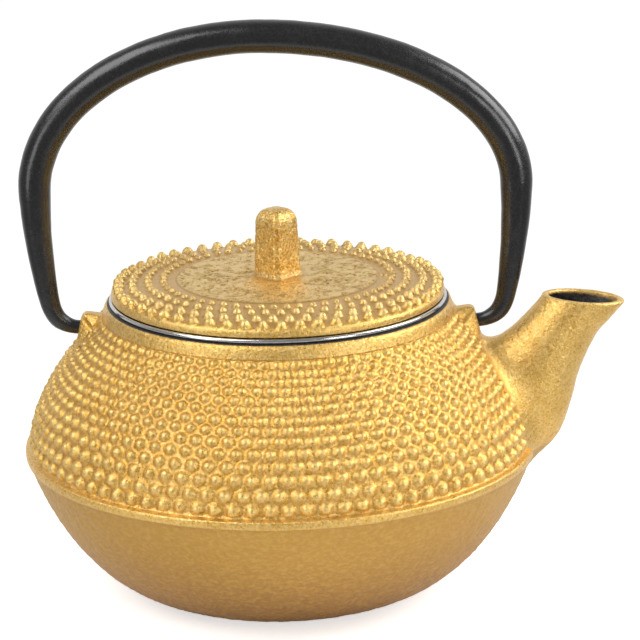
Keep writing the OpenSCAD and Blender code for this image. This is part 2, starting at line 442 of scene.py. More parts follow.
def gold_paint(name, body):
    """Gold stoving paint over a cast surface with black enamel inside, with painted highlight and painted shade set by
    the relief attribute; body adds the duller bowl, painted darker towards its bottom, and the lid's version paints its
    flat disc paler as a painted reflection.
    """
    m = Nodes(name)
    relief = m.attribute("relief")
    fine = m.noise(1500, 3, 0.65)
    grit = m.noise(3200, 2, 0.6)
    slow = m.noise(55, 2, 0.5)
    patch = m.noise(260, 3, 0.55)
    # the relief ramp paints light: stud tips and bumps come out paler, partly as rubbed paint and partly as painted
    # highlight, and the ground and dips between them darker, as painted shade
    tone = m.ramp(relief, [(0.0, (0.54, 0.255, 0.020)), (0.45, (0.76, 0.415, 0.056)),
                           (1.0, (0.93, 0.65, 0.21))], False)
    tone = m.mix(m.span(fine, 0.40, 0.68, 0.0, 0.42), tone, (0.97, 0.76, 0.35))
    tone = m.mix(m.span(patch, 0.52, 0.30, 0.0, 0.30), tone, (0.62, 0.31, 0.030))
    tone = m.mix(m.span(slow, 0.35, 0.7, 0.0, 0.18), tone, (0.86, 0.56, 0.18))
    speck = m.noise(2300, 2, 0.6)
    tone = m.mix(m.span(speck, 0.52, 0.62, 0.0, 0.28), tone, (1.0, 0.84, 0.46))
    tone = m.mix(m.span(speck, 0.46, 0.37, 0.0, 0.38), tone, (0.42, 0.19, 0.022))
    rough = m.span(fine, 0.3, 0.7, 0.26, 0.42)
    bump = m.bump(m.math("ADD", m.math("MULTIPLY", fine, 0.65), m.math("MULTIPLY", grit, 0.35)), 0.85, 0.00034)
    if not body:
        # the flat disc in the middle is painted duller and paler than the studs round it: a painted reflection of the
        # bright light above it
        flat = m.nt.nodes.new("ShaderNodeVectorMath")
        flat.operation = "LENGTH"
        m.nt.links.new(m.scaled(1, 1, 0), flat.inputs[0])
        z = m.axis(2)
        disc = m.math("MULTIPLY", m.span(flat.outputs["Value"], 0.0352, 0.0338, 0.0, 1.0), m.span(z, LID_DISC + 0.0016, LID_DISC + 0.0008, 0.0, 1.0))
        tan = m.ramp(relief, [(0.0, (0.44, 0.25, 0.060)), (0.42, (0.72, 0.465, 0.165)), (0.75, (0.90, 0.64, 0.25))], False)
        tone = m.mix(m.math("MULTIPLY", disc, 0.8), tone, tan)
        post = m.span(z, LID_DISC + 0.0012, LID_DISC + 0.0024, 0.0, 1.0)
        tone = m.mix(m.math("MULTIPLY", m.span(speck, 0.50, 0.62, 0.0, 0.40), post), tone, (1.0, 0.84, 0.46))
        tone = m.mix(m.math("MULTIPLY", m.span(speck, 0.46, 0.36, 0.0, 0.45), post), tone, (0.40, 0.19, 0.030))
    if body:
        z = m.axis(2)
        low = m.span(z, SEAM * 0.001 - 0.0013, SEAM * 0.001 - 0.0025, 0.0, 1.0)
        # deep paints the bowl darker towards its bottom: painted shade over the duller bowl finish
        deep = m.span(z, 0.026, 0.001, 0.0, 1.0)
        bowl_finish_and_shade = m.mix(deep, (0.56, 0.320, 0.072), (0.42, 0.215, 0.062))
        bowl_finish_and_shade = m.mix(m.span(m.noise(900, 4, 0.6, m.scaled(1, 1, 1.7)), 0.42, 0.66, 0.0, 0.5), bowl_finish_and_shade, (0.70, 0.44, 0.120))
        tone = m.mix(low, tone, bowl_finish_and_shade)
        rough = m.math("ADD", rough, m.math("MULTIPLY", low, 0.06))
    # enamel down the bore, the spout's passage and the cavity
    inner = m.attribute("inside")
    mist = m.math("MULTIPLY", m.noise(2600, 3, 0.7), 0.5)
    edge = m.span(m.math("ADD", inner, m.math("SUBTRACT", mist, 0.25)), 0.25, 0.75, 0.0, 1.0)
    enamel = m.mix(m.span(m.noise(1800, 3, 0.65), 0.40, 0.70, 0.0, 1.0), (0.012, 0.011, 0.010), (0.060, 0.054, 0.044))
    tone = m.mix(edge, tone, enamel)
    rough = m.math("ADD", rough, m.math("MULTIPLY", edge, 0.18))
    metal = m.math("SUBTRACT", 0.82, m.math("MULTIPLY", edge, 0.75))
    m.set(base_color=tone, metallic=metal, roughness=rough, normal=bump)
    m.bsdf.inputs["Coat Weight"].default_value = 0.12
    m.bsdf.inputs["Coat Roughness"].default_value = 0.28
    return m.mat


def black_coat(name):
    m = Nodes(name)
    fine = m.noise(1900, 3, 0.6)
    wide = m.noise(140, 2, 0.5)
    tone = m.mix(m.span(fine, 0.35, 0.7, 0.0, 1.0), (0.0050, 0.0050, 0.0052), (0.0120, 0.0120, 0.0122))
    rough = m.math("ADD", m.span(fine, 0.3, 0.7, 0.21, 0.28), m.span(wide, 0.3, 0.7, -0.03, 0.05))
    bump = m.bump(m.math("ADD", m.math("MULTIPLY", fine, 0.6), m.math("MULTIPLY", m.noise(700, 2, 0.5), 0.4)), 0.22, 0.0002)
    m.set(base_color=tone, roughness=rough, normal=bump)
    m.bsdf.inputs["Specular IOR Level"].default_value = 0.75
    return m.mat


def steel(name, polish):
    m = Nodes(name)
    streak = m.noise(900, 3, 0.6, m.scaled(1, 1, 9))
    spots = m.noise(240, 2, 0.5)
    tone = m.mix(m.span(streak, 0.3, 0.7, 0.0, 1.0), (0.60, 0.60, 0.61), (0.76, 0.76, 0.755))
    rough = m.math("ADD", m.span(streak, 0.3, 0.7, polish, polish + 0.10), m.span(spots, 0.4, 0.7, 0.0, 0.05))
    bump = m.bump(streak, 0.05, 0.0001)
    m.set(base_color=tone, metallic=1.0, roughness=rough, normal=bump)
    return m.mat


LID_DISC = 0.0692 + (lid_hi[2] - 84.2) * 0.001
GOLD = gold_paint("gold_paint_body", True)
GOLD_LID = gold_paint("gold_paint_lid", False)
BLACK = black_coat("satin_black_coat")
STEEL = steel("polished_steel", 0.10)
WIRE = steel("drawn_wire", 0.24)


# ---------------------------------------------------------------------------
# Pot: the outer profile from the foot to the neck, and what stands on it
# ---------------------------------------------------------------------------
def bowl(z):
    return FOOT + (BELLY - 0.1 - FOOT) * (1 - (1 - np.asarray(z, float) / SEAM) ** 1.22) ** 0.46


def crown(z):
    """Envelope of the stud tips on the shoulder."""
    return 55.699 * (1 - ((np.asarray(z, float) - SEAM) / 63.484) ** 1.827) ** 1.383


def off(f, z, d):
    """Points of curve f moved inward along its normal by d."""
    z = np.asarray(z, float)
    k = (f(z + 0.01) - f(np.maximum(z - 0.01, 1e-6))) / (np.where(z > 0.01, 0.02, 0.01 + z))
    w = np.sqrt(1 + k * k)
    return np.stack([f(z) - d / w, z + d * k / w], -1)


STUD_Z = np.array([34.1, 37.1, 40.2, 42.8, 45.2, 47.4, 49.4, 51.1, 53.0, 54.6, 56.2, 57.6, 59.0, 60.4])
STUDS = 90
COLS = 900


def sink(z):
    """How far the ground between the studs lies under their tips."""
    return np.interp(z, [33, 50, 57, 60, 61.3], [0.98, 0.86, 0.70, 0.44, 0.08])


zs = np.linspace(33.05, 61.25, 430)
ground = off(crown, zs, sink(zs))
zb = 30.28 * np.linspace(0, 1, 500) ** 2.2
prof_bowl = np.stack([bowl(zb), zb], -1)
prof_bowl[:, 1] += FLOOR
prof_band = np.array([(BELLY - 0.26, 30.42), (BELLY - 0.10, 30.52), (BELLY - 0.02, 30.70), (BELLY, 31.0), (BELLY, 31.35),
                      (BELLY, 31.7), (BELLY - 0.03, 31.95), (BELLY - 0.12, 32.12), (BELLY - 0.4, 32.26),
                      (BELLY - 0.95, 32.36), (BELLY - 1.35, 32.48), (BELLY - 1.55, 32.68)])
g_end = ground[-1]
neck_pts = [(38.50, 61.12), (38.42, 61.32), (38.36, 61.6), (38.24, 62.1), (38.07, 62.7), (37.90, 63.2),
            (37.76, 63.5), (37.54, 63.74), (37.24, 63.91), (36.85, 63.985), (36.2, 64.0), (35.4, 64.0), (34.7, 64.0),
            (34.2, 63.985), (33.85, 63.9), (33.66, 63.7)]
prof_neck = np.array(neck_pts) + [0, NECK_TOP - 64.0]
ground = ground[ground[:, 1] < 61.0]
PROF = np.concatenate([prof_bowl, prof_band, ground, prof_neck])
N_NECK0 = len(prof_bowl) + len(prof_band) + len(ground)
PROF_S = np.concatenate([[0], np.cumsum(np.sqrt((np.diff(PROF, axis=0) ** 2).sum(1)))])
tang = np.gradient(PROF, PROF_S, axis=0)
tang /= np.maximum(np.sqrt((tang ** 2).sum(1))[:, None], 1e-9)
PROF_N = np.stack([tang[:, 1], -tang[:, 0]], 1)
S_BAND = PROF_S[len(prof_bowl)]
S_GROUND = PROF_S[len(prof_bowl) + len(prof_band)]
S_NECK = PROF_S[N_NECK0]
S_BORE = PROF_S[-1]
z_up = PROF[:N_NECK0 + 6, 1]
s_up = PROF_S[:N_NECK0 + 6]

# height of each stud row along the profile
gz = np.array([off(crown, z, sink(z)) for z in STUD_Z])
STUD_S = np.interp(gz[:, 1], z_up, s_up)
STUD_R = np.interp(STUD_Z, [34.1, 60.4], [1.50, 1.04])
STUD_H = np.maximum(sink(STUD_Z), 0.55)
stud_phase = 0.0
stud_jit = rng.normal(0, 1, (len(STUD_Z), STUDS, 4))


def smooth_r(z):
    """The profile without its step and band, used where the spout blends in."""
    lo, hi = 29.0, 35.4
    r_lo, r_hi = float(bowl(lo)), float(np.interp(hi, ground[:, 1], ground[:, 0]))
    k_lo = float((bowl(lo + 0.1) - bowl(lo - 0.1)) / 0.2)
    k_hi = float((np.interp(hi + 0.2, ground[:, 1], ground[:, 0]) - np.interp(hi - 0.2, ground[:, 1], ground[:, 0])) / 0.4)
    t = np.clip((z - lo) / (hi - lo), 0, 1)
    h = hi - lo
    mid = ((2 * t ** 3 - 3 * t ** 2 + 1) * r_lo + (t ** 3 - 2 * t ** 2 + t) * h * k_lo
           + (-2 * t ** 3 + 3 * t ** 2) * r_hi + (t ** 3 - t ** 2) * h * k_hi)
    actual = np.interp(z, PROF[:N_NECK0 + 6, 1], PROF[:N_NECK0 + 6, 0])
    return np.where((z > lo) & (z < hi), mid, actual)


# ---- spout outlines in the XZ plane, and half widths
TOP = np.array([[40, 44], [44.5, 52], [48.5, 54.3], [51.7, 56.6], [54.5, 59.4], [56.5, 61.6], [57.3, 62.6], [57.8, 63.3]])
LOW = np.array([[49, 21], [57, 27], [61.6, 32], [64.2, 39], [66.2, 46.8], [69.7, 54.6], [72.5, 57.9], [TIP_X, 62]])
WID = np.array([9.2, 9.2, 8.8, 8.2, 7.5, 6.8, 6.5, 6.2])
PAS = np.array([.42, .44, .54, .66, .73, .75, .79, .84])
PAW = np.array([4.2, 4.2, 4.2, 4.9, 5.3, 5, 4.85, 4.95])
MOUTH_N = np.array([math.sin(math.radians(4.1)), 0, math.cos(math.radians(4.1))])


def spout(psi, t, inner=False):
    top, low, w = knots(TOP, t), knots(LOW, t), knots(WID, t)
    share = 1.0
    if inner:
        share, w = knots(PAS, t)[..., None], knots(PAW, t)
    c, a = (top + low) / 2, (top - low) / 2 * share
    out = np.empty(np.broadcast(psi, t).shape + (3,))
    out[..., 0] = c[..., 0] + a[..., 0] * np.cos(psi)
    out[..., 2] = c[..., 1] + a[..., 1] * np.cos(psi)
    out[..., 1] = w * np.sin(psi)
    return out


NPSI = 168
PSI = np.arange(NPSI) / NPSI * TAU


def crossing(inner, radius_at, t_from, t_to):
    """For each psi, the t where the spout's skin meets a turned wall."""
    ts = np.linspace(t_from, t_to, 700)
    p = spout(PSI[:, None], ts[None, :], inner)
    gap = np.hypot(p[..., 0], p[..., 1]) - radius_at(p[..., 2])
    out = np.empty(NPSI)
    for k in range(NPSI):
        below = np.nonzero(gap[k] <= 0)[0]
        i = below[-1]
        f = gap[k, i] / (gap[k, i] - gap[k, i + 1])
        out[k] = ts[i] + f * (ts[i + 1] - ts[i])
    return out


T_IN = crossing(False, smooth_r, 0.0, 5.5)
LOOP_I = spout(PSI, T_IN)
# blend width around the root: small at the crotch under the ear, larger below
blend_w = 3.4 + 1.5 * np.clip(-np.cos(PSI), 0, 1) - 0.9 * np.clip(np.cos(PSI), 0, 1) ** 3
th_i = np.arctan2(LOOP_I[:, 1], LOOP_I[:, 0])
s_i = np.interp(LOOP_I[:, 2], z_up, s_up)
r_i = np.hypot(LOOP_I[:, 0], LOOP_I[:, 1])
du = (np.roll(th_i, -1) - np.roll(th_i, 1)) * r_i
ds = np.roll(s_i, -1) - np.roll(s_i, 1)
ln = np.hypot(du, ds)
nu, ns = ds / ln, -du / ln
sign = np.sign(((th_i - th_i.mean()) * r_i * nu + (s_i - s_i.mean()) * ns).mean())
nu, ns = nu * sign, ns * sign
th_a = th_i + nu * blend_w / r_i
s_a = s_i + ns * blend_w
for _ in range(3):  # even out the offset loop
    th_a = (np.roll(th_a, 1) + 2 * th_a + np.roll(th_a, -1)) / 4
    s_a = (np.roll(s_a, 1) + 2 * s_a + np.roll(s_a, -1)) / 4
UREF = 50.0
LOOP_A = np.stack([th_a * UREF, s_a], 1)

# ---- ears: a wedge rising from the shoulder under the collar
ear_top = np.array([(38.55, 60.98), (39.4, 61.09), (40.3, 61.21), (41.2, 61.33), (41.8, 61.38), (42.35, 61.28), (42.78, 61.0),
                    (43.05, 60.6), (43.18, 60.1), (43.42, 59.2), (43.68, 58.1), (43.93, 57.0), (44.18, 55.9), (44.42, 54.9),
                    (44.75, 54.0)])
s_e0 = S_NECK - 0.15
s_e1 = float(np.interp(52.9, z_up, s_up))
ear_line = np.concatenate([ear_top, [[np.interp(52.9, PROF[:N_NECK0, 1], PROF[:N_NECK0, 0]), 52.9]]])
ear_len = np.concatenate([[0], np.cumsum(np.sqrt((np.diff(ear_line, axis=0) ** 2).sum(1)))])


def ear_at(s):
    t = np.clip((s_e0 - s) / (s_e0 - s_e1), 0, 1) * ear_len[-1]
    return np.interp(t, ear_len, ear_line[:, 0]), np.interp(t, ear_len, ear_line[:, 1])


def studs(theta, s):
    """Stud height in mm at each point."""
    h = np.zeros(theta.shape)
    for k, (sk, rk) in enumerate(zip(STUD_S, STUD_R)):
        m = np.abs(s - sk) < rk * 1.2
        if not m.any():
            continue
        th, ss = theta[m], s[m]
        turn = (th / TAU * STUDS - 0.5 * (k % 2) - stud_phase)
        c = np.round(turn).astype(int)
        j = stud_jit[k, c % STUDS]
        rr = np.interp(ss, PROF_S, PROF[:, 0])
        du = (turn - c) * TAU / STUDS * rr + j[:, 0] * 0.05
        dv = ss - sk + j[:, 1] * 0.05
        rad = rk * (1 + 0.04 * j[:, 2])
        d = np.sqrt(du ** 2 + dv ** 2) / rad
        hk = STUD_H[k] * (1 + 0.06 * j[:, 3]) * np.clip(1 - d ** 2.3, 0, 1) ** 0.95
        h[m] = np.maximum(h[m], hk)
    return h


def outer(theta, s):
    """Outer skin of the pot at angle theta and profile length s: points and relief."""
    theta, s = np.broadcast_arrays(np.asarray(theta, float), np.asarray(s, float))
    shape = theta.shape
    theta, s = theta.reshape(-1), s.reshape(-1)
    r, z = np.interp(s, PROF_S, PROF[:, 0]), np.interp(s, PROF_S, PROF[:, 1])
    nr, nz = np.interp(s, PROF_S, PROF_N[:, 0]), np.interp(s, PROF_S, PROF_N[:, 1])
    ln = np.hypot(nr, nz)
    nr, nz = nr / ln, nz / ln
    wrapped = (theta + math.pi) % TAU - math.pi
    # how clear of the spout's blend each point is
    m = np.full(theta.shape, 9.0)
    close = (np.abs(wrapped) < 0.40) & (s > LOOP_A[:, 1].min() - 4) & (s < LOOP_A[:, 1].max() + 4)
    if close.any():
        q = np.stack([wrapped[close] * UREF, s[close]], 1)
        d = to_loop(q, LOOP_A)
        d[in_loop(q, LOOP_A)] = 0
        m[close] = d
    free = smooth(m, 0.0, 1.6)
    r = smooth_r(z) * (1 - free) + r * free if close.any() else r
    # studs
    h = np.zeros(theta.shape)
    zone = (s > S_GROUND - 0.3) & (s < S_NECK + 0.2)
    if zone.any():
        h[zone] = studs(wrapped[zone], s[zone])
    h *= smooth(m, 0.05, 1.15)
    # ears
    y = r * np.sin(wrapped)
    side = np.where(np.abs(wrapped) < math.pi / 2, 1.0, -1.0)
    ex, ez = ear_at(s)
    ride_t = np.clip((s_e0 - s) / (s_e0 - s_e1), 0, 1)
    back_w = 1 - np.clip((np.abs(y) - 1.15) / (4.6 - 1.15), 0, 1)
    face_w = 1 - np.clip((np.abs(y) - 2.25) / (5.0 - 2.25), 0, 1)
    w_back = back_w ** 2.3 * smooth(back_w, 0.0, 0.12)
    w_face = face_w ** 1.5 * smooth(face_w, 0.0, 0.12)
    front = smooth(ride_t, 0.29, 0.37)
    w = w_back * (1 - front) + w_face * front
    w = w * smooth(s, s_e1 + 0.0, s_e1 + 0.7) * smooth(s, s_e0 + 0.02, s_e0 - 0.5)
    ground_clear = smooth(w, 0.16, 0.01)
    h *= ground_clear
    # cast surface
    x3, y3 = r * np.cos(theta), r * np.sin(theta)
    p = np.stack([x3, y3, z], -1)
    rough = 0.05 * fbm(p / 0.95, 3, 2)
    low = smooth(s, S_BAND + 0.1, S_BAND - 0.9) * smooth(z, FLOOR + 0.15, FLOOR + 1.6)
    if (low > 0).any():
        i = low > 0
        q = p[i] / np.array([2.3, 2.3, 1.25])
        q = q + 0.35 * np.stack([vnoise(q * 0.8 + 3, 25), vnoise(q * 0.8 + 7, 26), vnoise(q * 0.8 + 9, 27)], -1)
        ridge = 0.36 - np.abs(vnoise(q, 21)) - 0.5 * np.abs(vnoise(q * 2.1 + 5, 22))
        rough[i] += low[i] * (0.19 * ridge + 0.05 * fbm(p[i] / 0.75, 31, 2))
    band = smooth(s, S_BAND - 0.2, S_BAND + 0.2) * smooth(s, S_GROUND + 0.2, S_GROUND - 0.2)
    rough *= 1 - 0.75 * band
    rough *= smooth(s, PROF_S[-7], PROF_S[-8]) * smooth(z, FLOOR + 0.05, FLOOR + 1.0)
    disp = h + rough
    rr = r + nr * disp
    zz = z + nz * disp
    out = np.stack([rr * np.cos(theta), rr * np.sin(theta), zz], -1)
    eared = np.stack([side * (ex + 0.9 * rough), y, ez + 0.3 * rough], -1)
    out = out * (1 - w[:, None]) + eared * w[:, None]
    # relief sets the painted light: high on stud tips and bumps (painted highlight, with some rubbed paint on the
    # tips), low in the ground and dips (painted shade); plain parts sit at a middle value
    relief = np.clip(0.30 + 0.62 * h / 0.95 + 0.25 * (rough / 0.05) * 0.3, 0, 1)
    plain = 1 - smooth(s, S_GROUND - 0.4, S_GROUND + 0.3) * smooth(s, S_NECK + 0.3, S_NECK - 0.3)
    plain = np.maximum(plain, np.maximum(w, 1 - free))
    relief = relief * (1 - plain) + 0.62 * plain
    return out.reshape(shape + (3,)), relief.reshape(shape)


# ---- rows and columns
rows_lo = np.arange(0, np.interp(18.5, z_up, s_up), 0.58)
rows_mid = np.linspace(np.interp(18.5, z_up, s_up), S_BAND - 0.05, 24)
rows_band = PROF_S[len(prof_bowl):len(prof_bowl) + len(prof_band)]
rows_st = [np.linspace(S_GROUND + 0.1, STUD_S[0], 7)[:-1]]
for a, b in zip(STUD_S[:-1], STUD_S[1:]):
    rows_st.append(np.linspace(a, b, 9)[:-1])
rows_st.append(np.linspace(STUD_S[-1], S_NECK - 0.06, 6))
rows_nk = PROF_S[N_NECK0:]
S_ROWS = np.concatenate([rows_mid, rows_band, *rows_st, rows_nk])
COL_A = (np.arange(COLS) - COLS // 2) / COLS * TAU   # from -pi, so the spout lies mid table

pot = Shell()
# lower bowl and foot
lo_cols = COLS * 3 // 5
col_b = (np.arange(lo_cols) - lo_cols // 2) / lo_cols * TAU
p, rel = outer(col_b[None, :], rows_lo[:, None])
ids_lo = pot.points(p, 0, rel)
pot.grid(ids_lo, True)
foot_rows = [FOOT - 0.25, FOOT - 1.6, FOOT - 4, 18.0, 13.0, 8.0, 4.0]
n_f = 150
col_f = (np.arange(n_f) - n_f // 2) / n_f * TAU
ring0 = pot.points(np.stack([(FOOT - 0.3) * np.cos(col_b), (FOOT - 0.3) * np.sin(col_b), np.full(lo_cols, FLOOR)], -1), 0, 0.3)
pot.grid(np.stack([ring0, ids_lo[0]]), True)
ft = []
for k, r0 in enumerate(foot_rows[1:]):
    q = np.stack([r0 * np.cos(col_f), r0 * np.sin(col_f), np.full(n_f, FLOOR)], -1)
    q[:, 2] += 0.03 + 0.02 * vnoise(q / 2.0, 77)
    ft.append(pot.points(q, 0, 0.2))
pot.bridge(ft[0], ring0)
pot.grid(np.stack(ft[::-1]), True)
centre = pot.points(np.array([[0, 0, FLOOR + 0.03]]), 0, 0.2)[0]
pot.fan(ft[-1], centre, True)

# main skin
p, rel = outer(COL_A[None, :], S_ROWS[:, None])
inside_mark = np.where(S_ROWS > PROF_S[-9] + 1e-6, 0.95, 0.0)
ids = pot.points(p, np.broadcast_to(inside_mark[:, None], p.shape[:2]), rel)
pot.bridge(ids_lo[-1], ids[0])

# the edge of the spout's blend, A on the body
pa, rel_a = outer(th_a, s_a)
ra = smooth_r(np.interp(s_a, PROF_S, PROF[:, 1]))
ida = pot.points(pa, 0, 0.6)

# ear bores, in the outer faces of both ears
BORE_R = 1.58
NB = 40
phi = np.arange(NB) / NB * TAU
z_of_s = np.linspace(s_e1, s_e0, 500)
ez_of_s = ear_at(z_of_s)[1]
order = slice(None)
out_face = z_of_s < s_e0 - (ear_len[7] / ear_len[-1]) * (s_e0 - s_e1)
bz = PIVOT + BORE_R * np.sin(phi)
bs = np.interp(bz, ez_of_s[out_face], z_of_s[out_face])
by = BORE_R * np.cos(phi)
br = np.interp(bs, PROF_S, PROF[:, 0])
bx = ear_at(bs)[0]


def cells_out(windows):
    keep = np.ones((len(S_ROWS) - 1, COLS), bool)
    for i0, i1, j0, j1 in windows:
        keep[i0:i1, j0:j1] = False
    return keep


u_cols = COL_A * UREF
j_lo = int(np.searchsorted(u_cols, LOOP_A[:, 0].min() - 1.6))
j_hi = int(np.searchsorted(u_cols, LOOP_A[:, 0].max() + 1.6))
i_lo = int(np.searchsorted(S_ROWS, LOOP_A[:, 1].min() - 1.0))
i_hi = int(np.searchsorted(S_ROWS, s_e0 - 1.0))
win_r = (i_lo, i_hi, j_lo, j_hi)
idb = {}
for sx in (1, -1):
    th = np.arcsin(by / br) if sx > 0 else math.pi - np.arcsin(by / br)
    pts = np.stack([np.full(NB, 0.0) + sx * bx, by, bz], -1)
    idb[sx] = (th, pot.points(pts, 0, 0.5))


def place_outer(u, s):
    q, rel = outer(u / UREF, s)
    return pot.points(q, 0, rel)


th_r = np.arcsin(by / br)
loop_r = np.stack([th_r * UREF, bs], 1)
punch(pot, ids, u_cols, S_ROWS, win_r, [(LOOP_A, ida), (loop_r, idb[1][1])], 0.13, place_outer)
# the back ear lies on the table's seam, so its window works on a table turned by half
half = COLS // 2
ids_b = np.roll(ids, half, 1)
u_b = COL_A * UREF
i_b0 = int(np.searchsorted(S_ROWS, bs.min() - 1.2))
j_b0 = int(np.searchsorted(u_b, -2.6 * UREF / 44))
j_b1 = int(np.searchsorted(u_b, 2.6 * UREF / 44))
loop_l = np.stack([-th_r * UREF, bs], 1)
win_b = (i_b0, i_hi, j_b0, j_b1)


def place_back(u, s):
    q, rel = outer(u / UREF + math.pi, s)
    return pot.points(q, 0, rel)


punch(pot, ids_b, u_b, S_ROWS, win_b, [(loop_l, idb[-1][1])], 0.13, place_back)
keep = cells_out([win_r])
keep_b = cells_out([win_b])
keep &= np.roll(keep_b, -half, 1)
pot.grid(ids, True, keep=keep)

# bores: a short tube into each ear, closed at its end; their walls take the dark enamel colour, half at the mouth and
# full further in, as painted shade in the holes
for sx in (1, -1):
    rim = idb[sx][1]
    deep = []
    for x, rr, mark in ((41.6, BORE_R, 0.5), (39.4, BORE_R, 1.0), (39.3, BORE_R * 0.5, 1.0)):
        q = np.stack([np.full(NB, sx * x), by * rr / BORE_R, PIVOT + (bz - PIVOT) * rr / BORE_R], -1)
        deep.append(pot.points(q, mark, 0.2))
    tip = pot.points(np.array([[sx * 39.3, 0, PIVOT]]), 1.0, 0.2)[0]
    pot.grid(np.stack([rim, *deep]), True, flip=sx > 0)
    pot.fan(deep[-1], tip, sx > 0)

# spout's blend and skin
t_steps = np.linspace(0, 1.6, 161)
t_b = np.empty(NPSI)
for k in range(NPSI):
    q = spout(PSI[k], T_IN[k] + t_steps)
    run = np.concatenate([[0], np.cumsum(np.sqrt((np.diff(q, axis=0) ** 2).sum(1)))])
    t_b[k] = T_IN[k] + np.interp(blend_w[k] * 1.6, run, t_steps)
for _ in range(4):
    t_b = (np.roll(t_b, 1) + 2 * t_b + np.roll(t_b, -1)) / 4
B = spout(PSI, t_b)
A = pa
ctrl_a, ctrl_b = A + 0.62 * (LOOP_I - A), B + 0.62 * (LOOP_I - B)
strip = [ida]
for f in np.linspace(0, 1, 12)[1:-1]:
    q = ((1 - f) ** 3 * A + 3 * (1 - f) ** 2 * f * ctrl_a + 3 * (1 - f) * f ** 2 * ctrl_b + f ** 3 * B)
    strip.append(("p", q))


def spout_normal(psi, t, inner=False):
    e = 1e-3
    a = spout(psi + e, t, inner) - spout(psi - e, t, inner)
    b = spout(psi, t + e, inner) - spout(psi, np.maximum(t - e, 0), inner)
    n = np.cross(b, a)
    return n / np.maximum(np.sqrt((n ** 2).sum(-1))[..., None], 1e-9)


n_b = spout_normal(PSI, t_b)
if (n_b[NPSI // 4] @ np.array([0, 1, 0])) < 0:
    flip_n = -1.0
else:
    flip_n = 1.0
skin = []
for q in strip[1:]:
    q = q[1]
    q = q + n_b * flip_n * (0.06 * fbm(q / 0.85, 9, 3) * math.sin(math.pi * min(1, (len(skin) + 1) / 6)) ** 0.5 if len(skin) < 3 else 0.06 * fbm(q / 0.85, 9, 3))[:, None]
    skin.append(pot.points(q, 0, 0.6))
T_END = 6.90
for f in np.linspace(0, 1, 46):
    f = f ** 0.92
    t = t_b + (T_END - t_b) * f
    q = spout(PSI, t)
    n = spout_normal(PSI, t) * flip_n
    q = q + n * (0.06 * fbm(q / 0.85, 9, 3))[:, None]
    skin.append(pot.points(q, 0, 0.62 + 0.05 * vnoise(q / 6, 4)))
# rounded lip
lip_o = spout(PSI, T_END)
lip_i = spout(PSI, 6.86, True)
mid, arm = (lip_o + lip_i) / 2, (lip_o - lip_i) / 2
rise = 0.62
for a in np.radians(np.array([14, 30, 48, 66, 84, 102, 120, 138, 154, 168])):
    q = mid + arm * math.cos(a) * (1 + 0.10 * math.sin(a)) + MOUTH_N * rise * math.sin(a) ** 0.8
    q = q + MOUTH_N[None, :] * (0.03 * fbm(q / 1.1, 12, 2))[:, None]
    skin.append(pot.points(q, 0.36 * float(smooth(a, 1.5, 2.8)), 0.72))
# passage down to the cavity
prof_in_sh = off(crown, np.linspace(SEAM + 0.4, 57.0, 60), WALL + 0.5)
prof_in_sh = prof_in_sh[prof_in_sh[:, 1] < 58.9]
zi = np.array([0.5, 1.1, 2, 3.2, 4.8, 6.8, 9.2, 12, 15, 18, 21, 24, 27, 29.5, 30.3])
prof_in_b = off(bowl, zi, WALL)
r_ledge = float(np.interp(59.2, off(crown, np.linspace(55, 63, 60), WALL + 0.5)[:, 1], off(crown, np.linspace(55, 63, 60), WALL + 0.5)[:, 0]))
prof_in = np.concatenate([[[0, WALL + 0.3]], [[8, WALL + 0.27]], [[16, WALL + 0.23]], [[24, WALL + 0.2]], prof_in_b[prof_in_b[:, 0] > 25],
                          [[BELLY - WALL - 0.2, SEAM - 0.8]], prof_in_sh[prof_in_sh[:, 1] > SEAM], [[r_ledge, 59.2]]])
prof_in = prof_in[np.concatenate([[True], np.diff(prof_in[:, 1]) > -0.2])]
PIN = resample(prof_in, 0.25)
PIN_S = np.concatenate([[0], np.cumsum(np.sqrt((np.diff(PIN, axis=0) ** 2).sum(1)))])


def inner_r(z):
    k = PIN[:, 0] > 26
    return np.interp(z, PIN[k, 1], PIN[k, 0])


T_J = crossing(True, inner_r, 0.0, 5.0)
depth = np.linspace(0, 1, 34)
for f in depth:
    t = 6.86 + (T_J - 6.86) * f
    q = spout(PSI, t, True)
    n = spout_normal(PSI, t, True) * flip_n
    if f < 1:
        q = q - n * (0.07 * fbm(q / 0.8, 14, 3))[:, None]
    mark = 0.42 + 0.58 * float(smooth(f, 0.0, 0.06))
    skin.append(pot.points(q, mark, 0.5 - 0.2 * mark))
rows = np.stack([ida, *skin])
# does increasing psi run against the table's sense?
pot.grid(rows, True, flip=False)
spout_rows = rows

# cavity
N_IN = 180
col_i = (np.arange(N_IN) - N_IN // 2) / N_IN * TAU
s_in = np.concatenate([np.arange(0.0, PIN_S[-1] - 0.4, 1.1)[1:], [PIN_S[-1]]])


def inner_skin(theta, s):
    theta, s = np.broadcast_arrays(np.asarray(theta, float), np.asarray(s, float))
    r, z = np.interp(s, PIN_S, PIN[:, 0]), np.interp(s, PIN_S, PIN[:, 1])
    q = np.stack([r * np.cos(theta), r * np.sin(theta), z], -1)
    q[..., 2] += 0.03 * fbm(q / 1.6, 41, 2)
    return q


ids_in = pot.points(inner_skin(col_i[None, :], s_in[:, None]), 1.0, 0.3)
J = spout(PSI, T_J, True)
th_j = np.arctan2(J[:, 1], J[:, 0])
s_j = np.interp(J[:, 2], PIN[PIN[:, 0] > 26, 1], PIN_S[PIN[:, 0] > 26])
loop_j = np.stack([th_j * UREF, s_j], 1)
u_in = col_i * UREF
wj = (int(np.searchsorted(s_in, s_j.min() - 1.5)), int(np.searchsorted(s_in, s_j.max() + 1.5)),
      int(np.searchsorted(u_in, loop_j[:, 0].min() - 2.5)), int(np.searchsorted(u_in, loop_j[:, 0].max() + 2.5)))


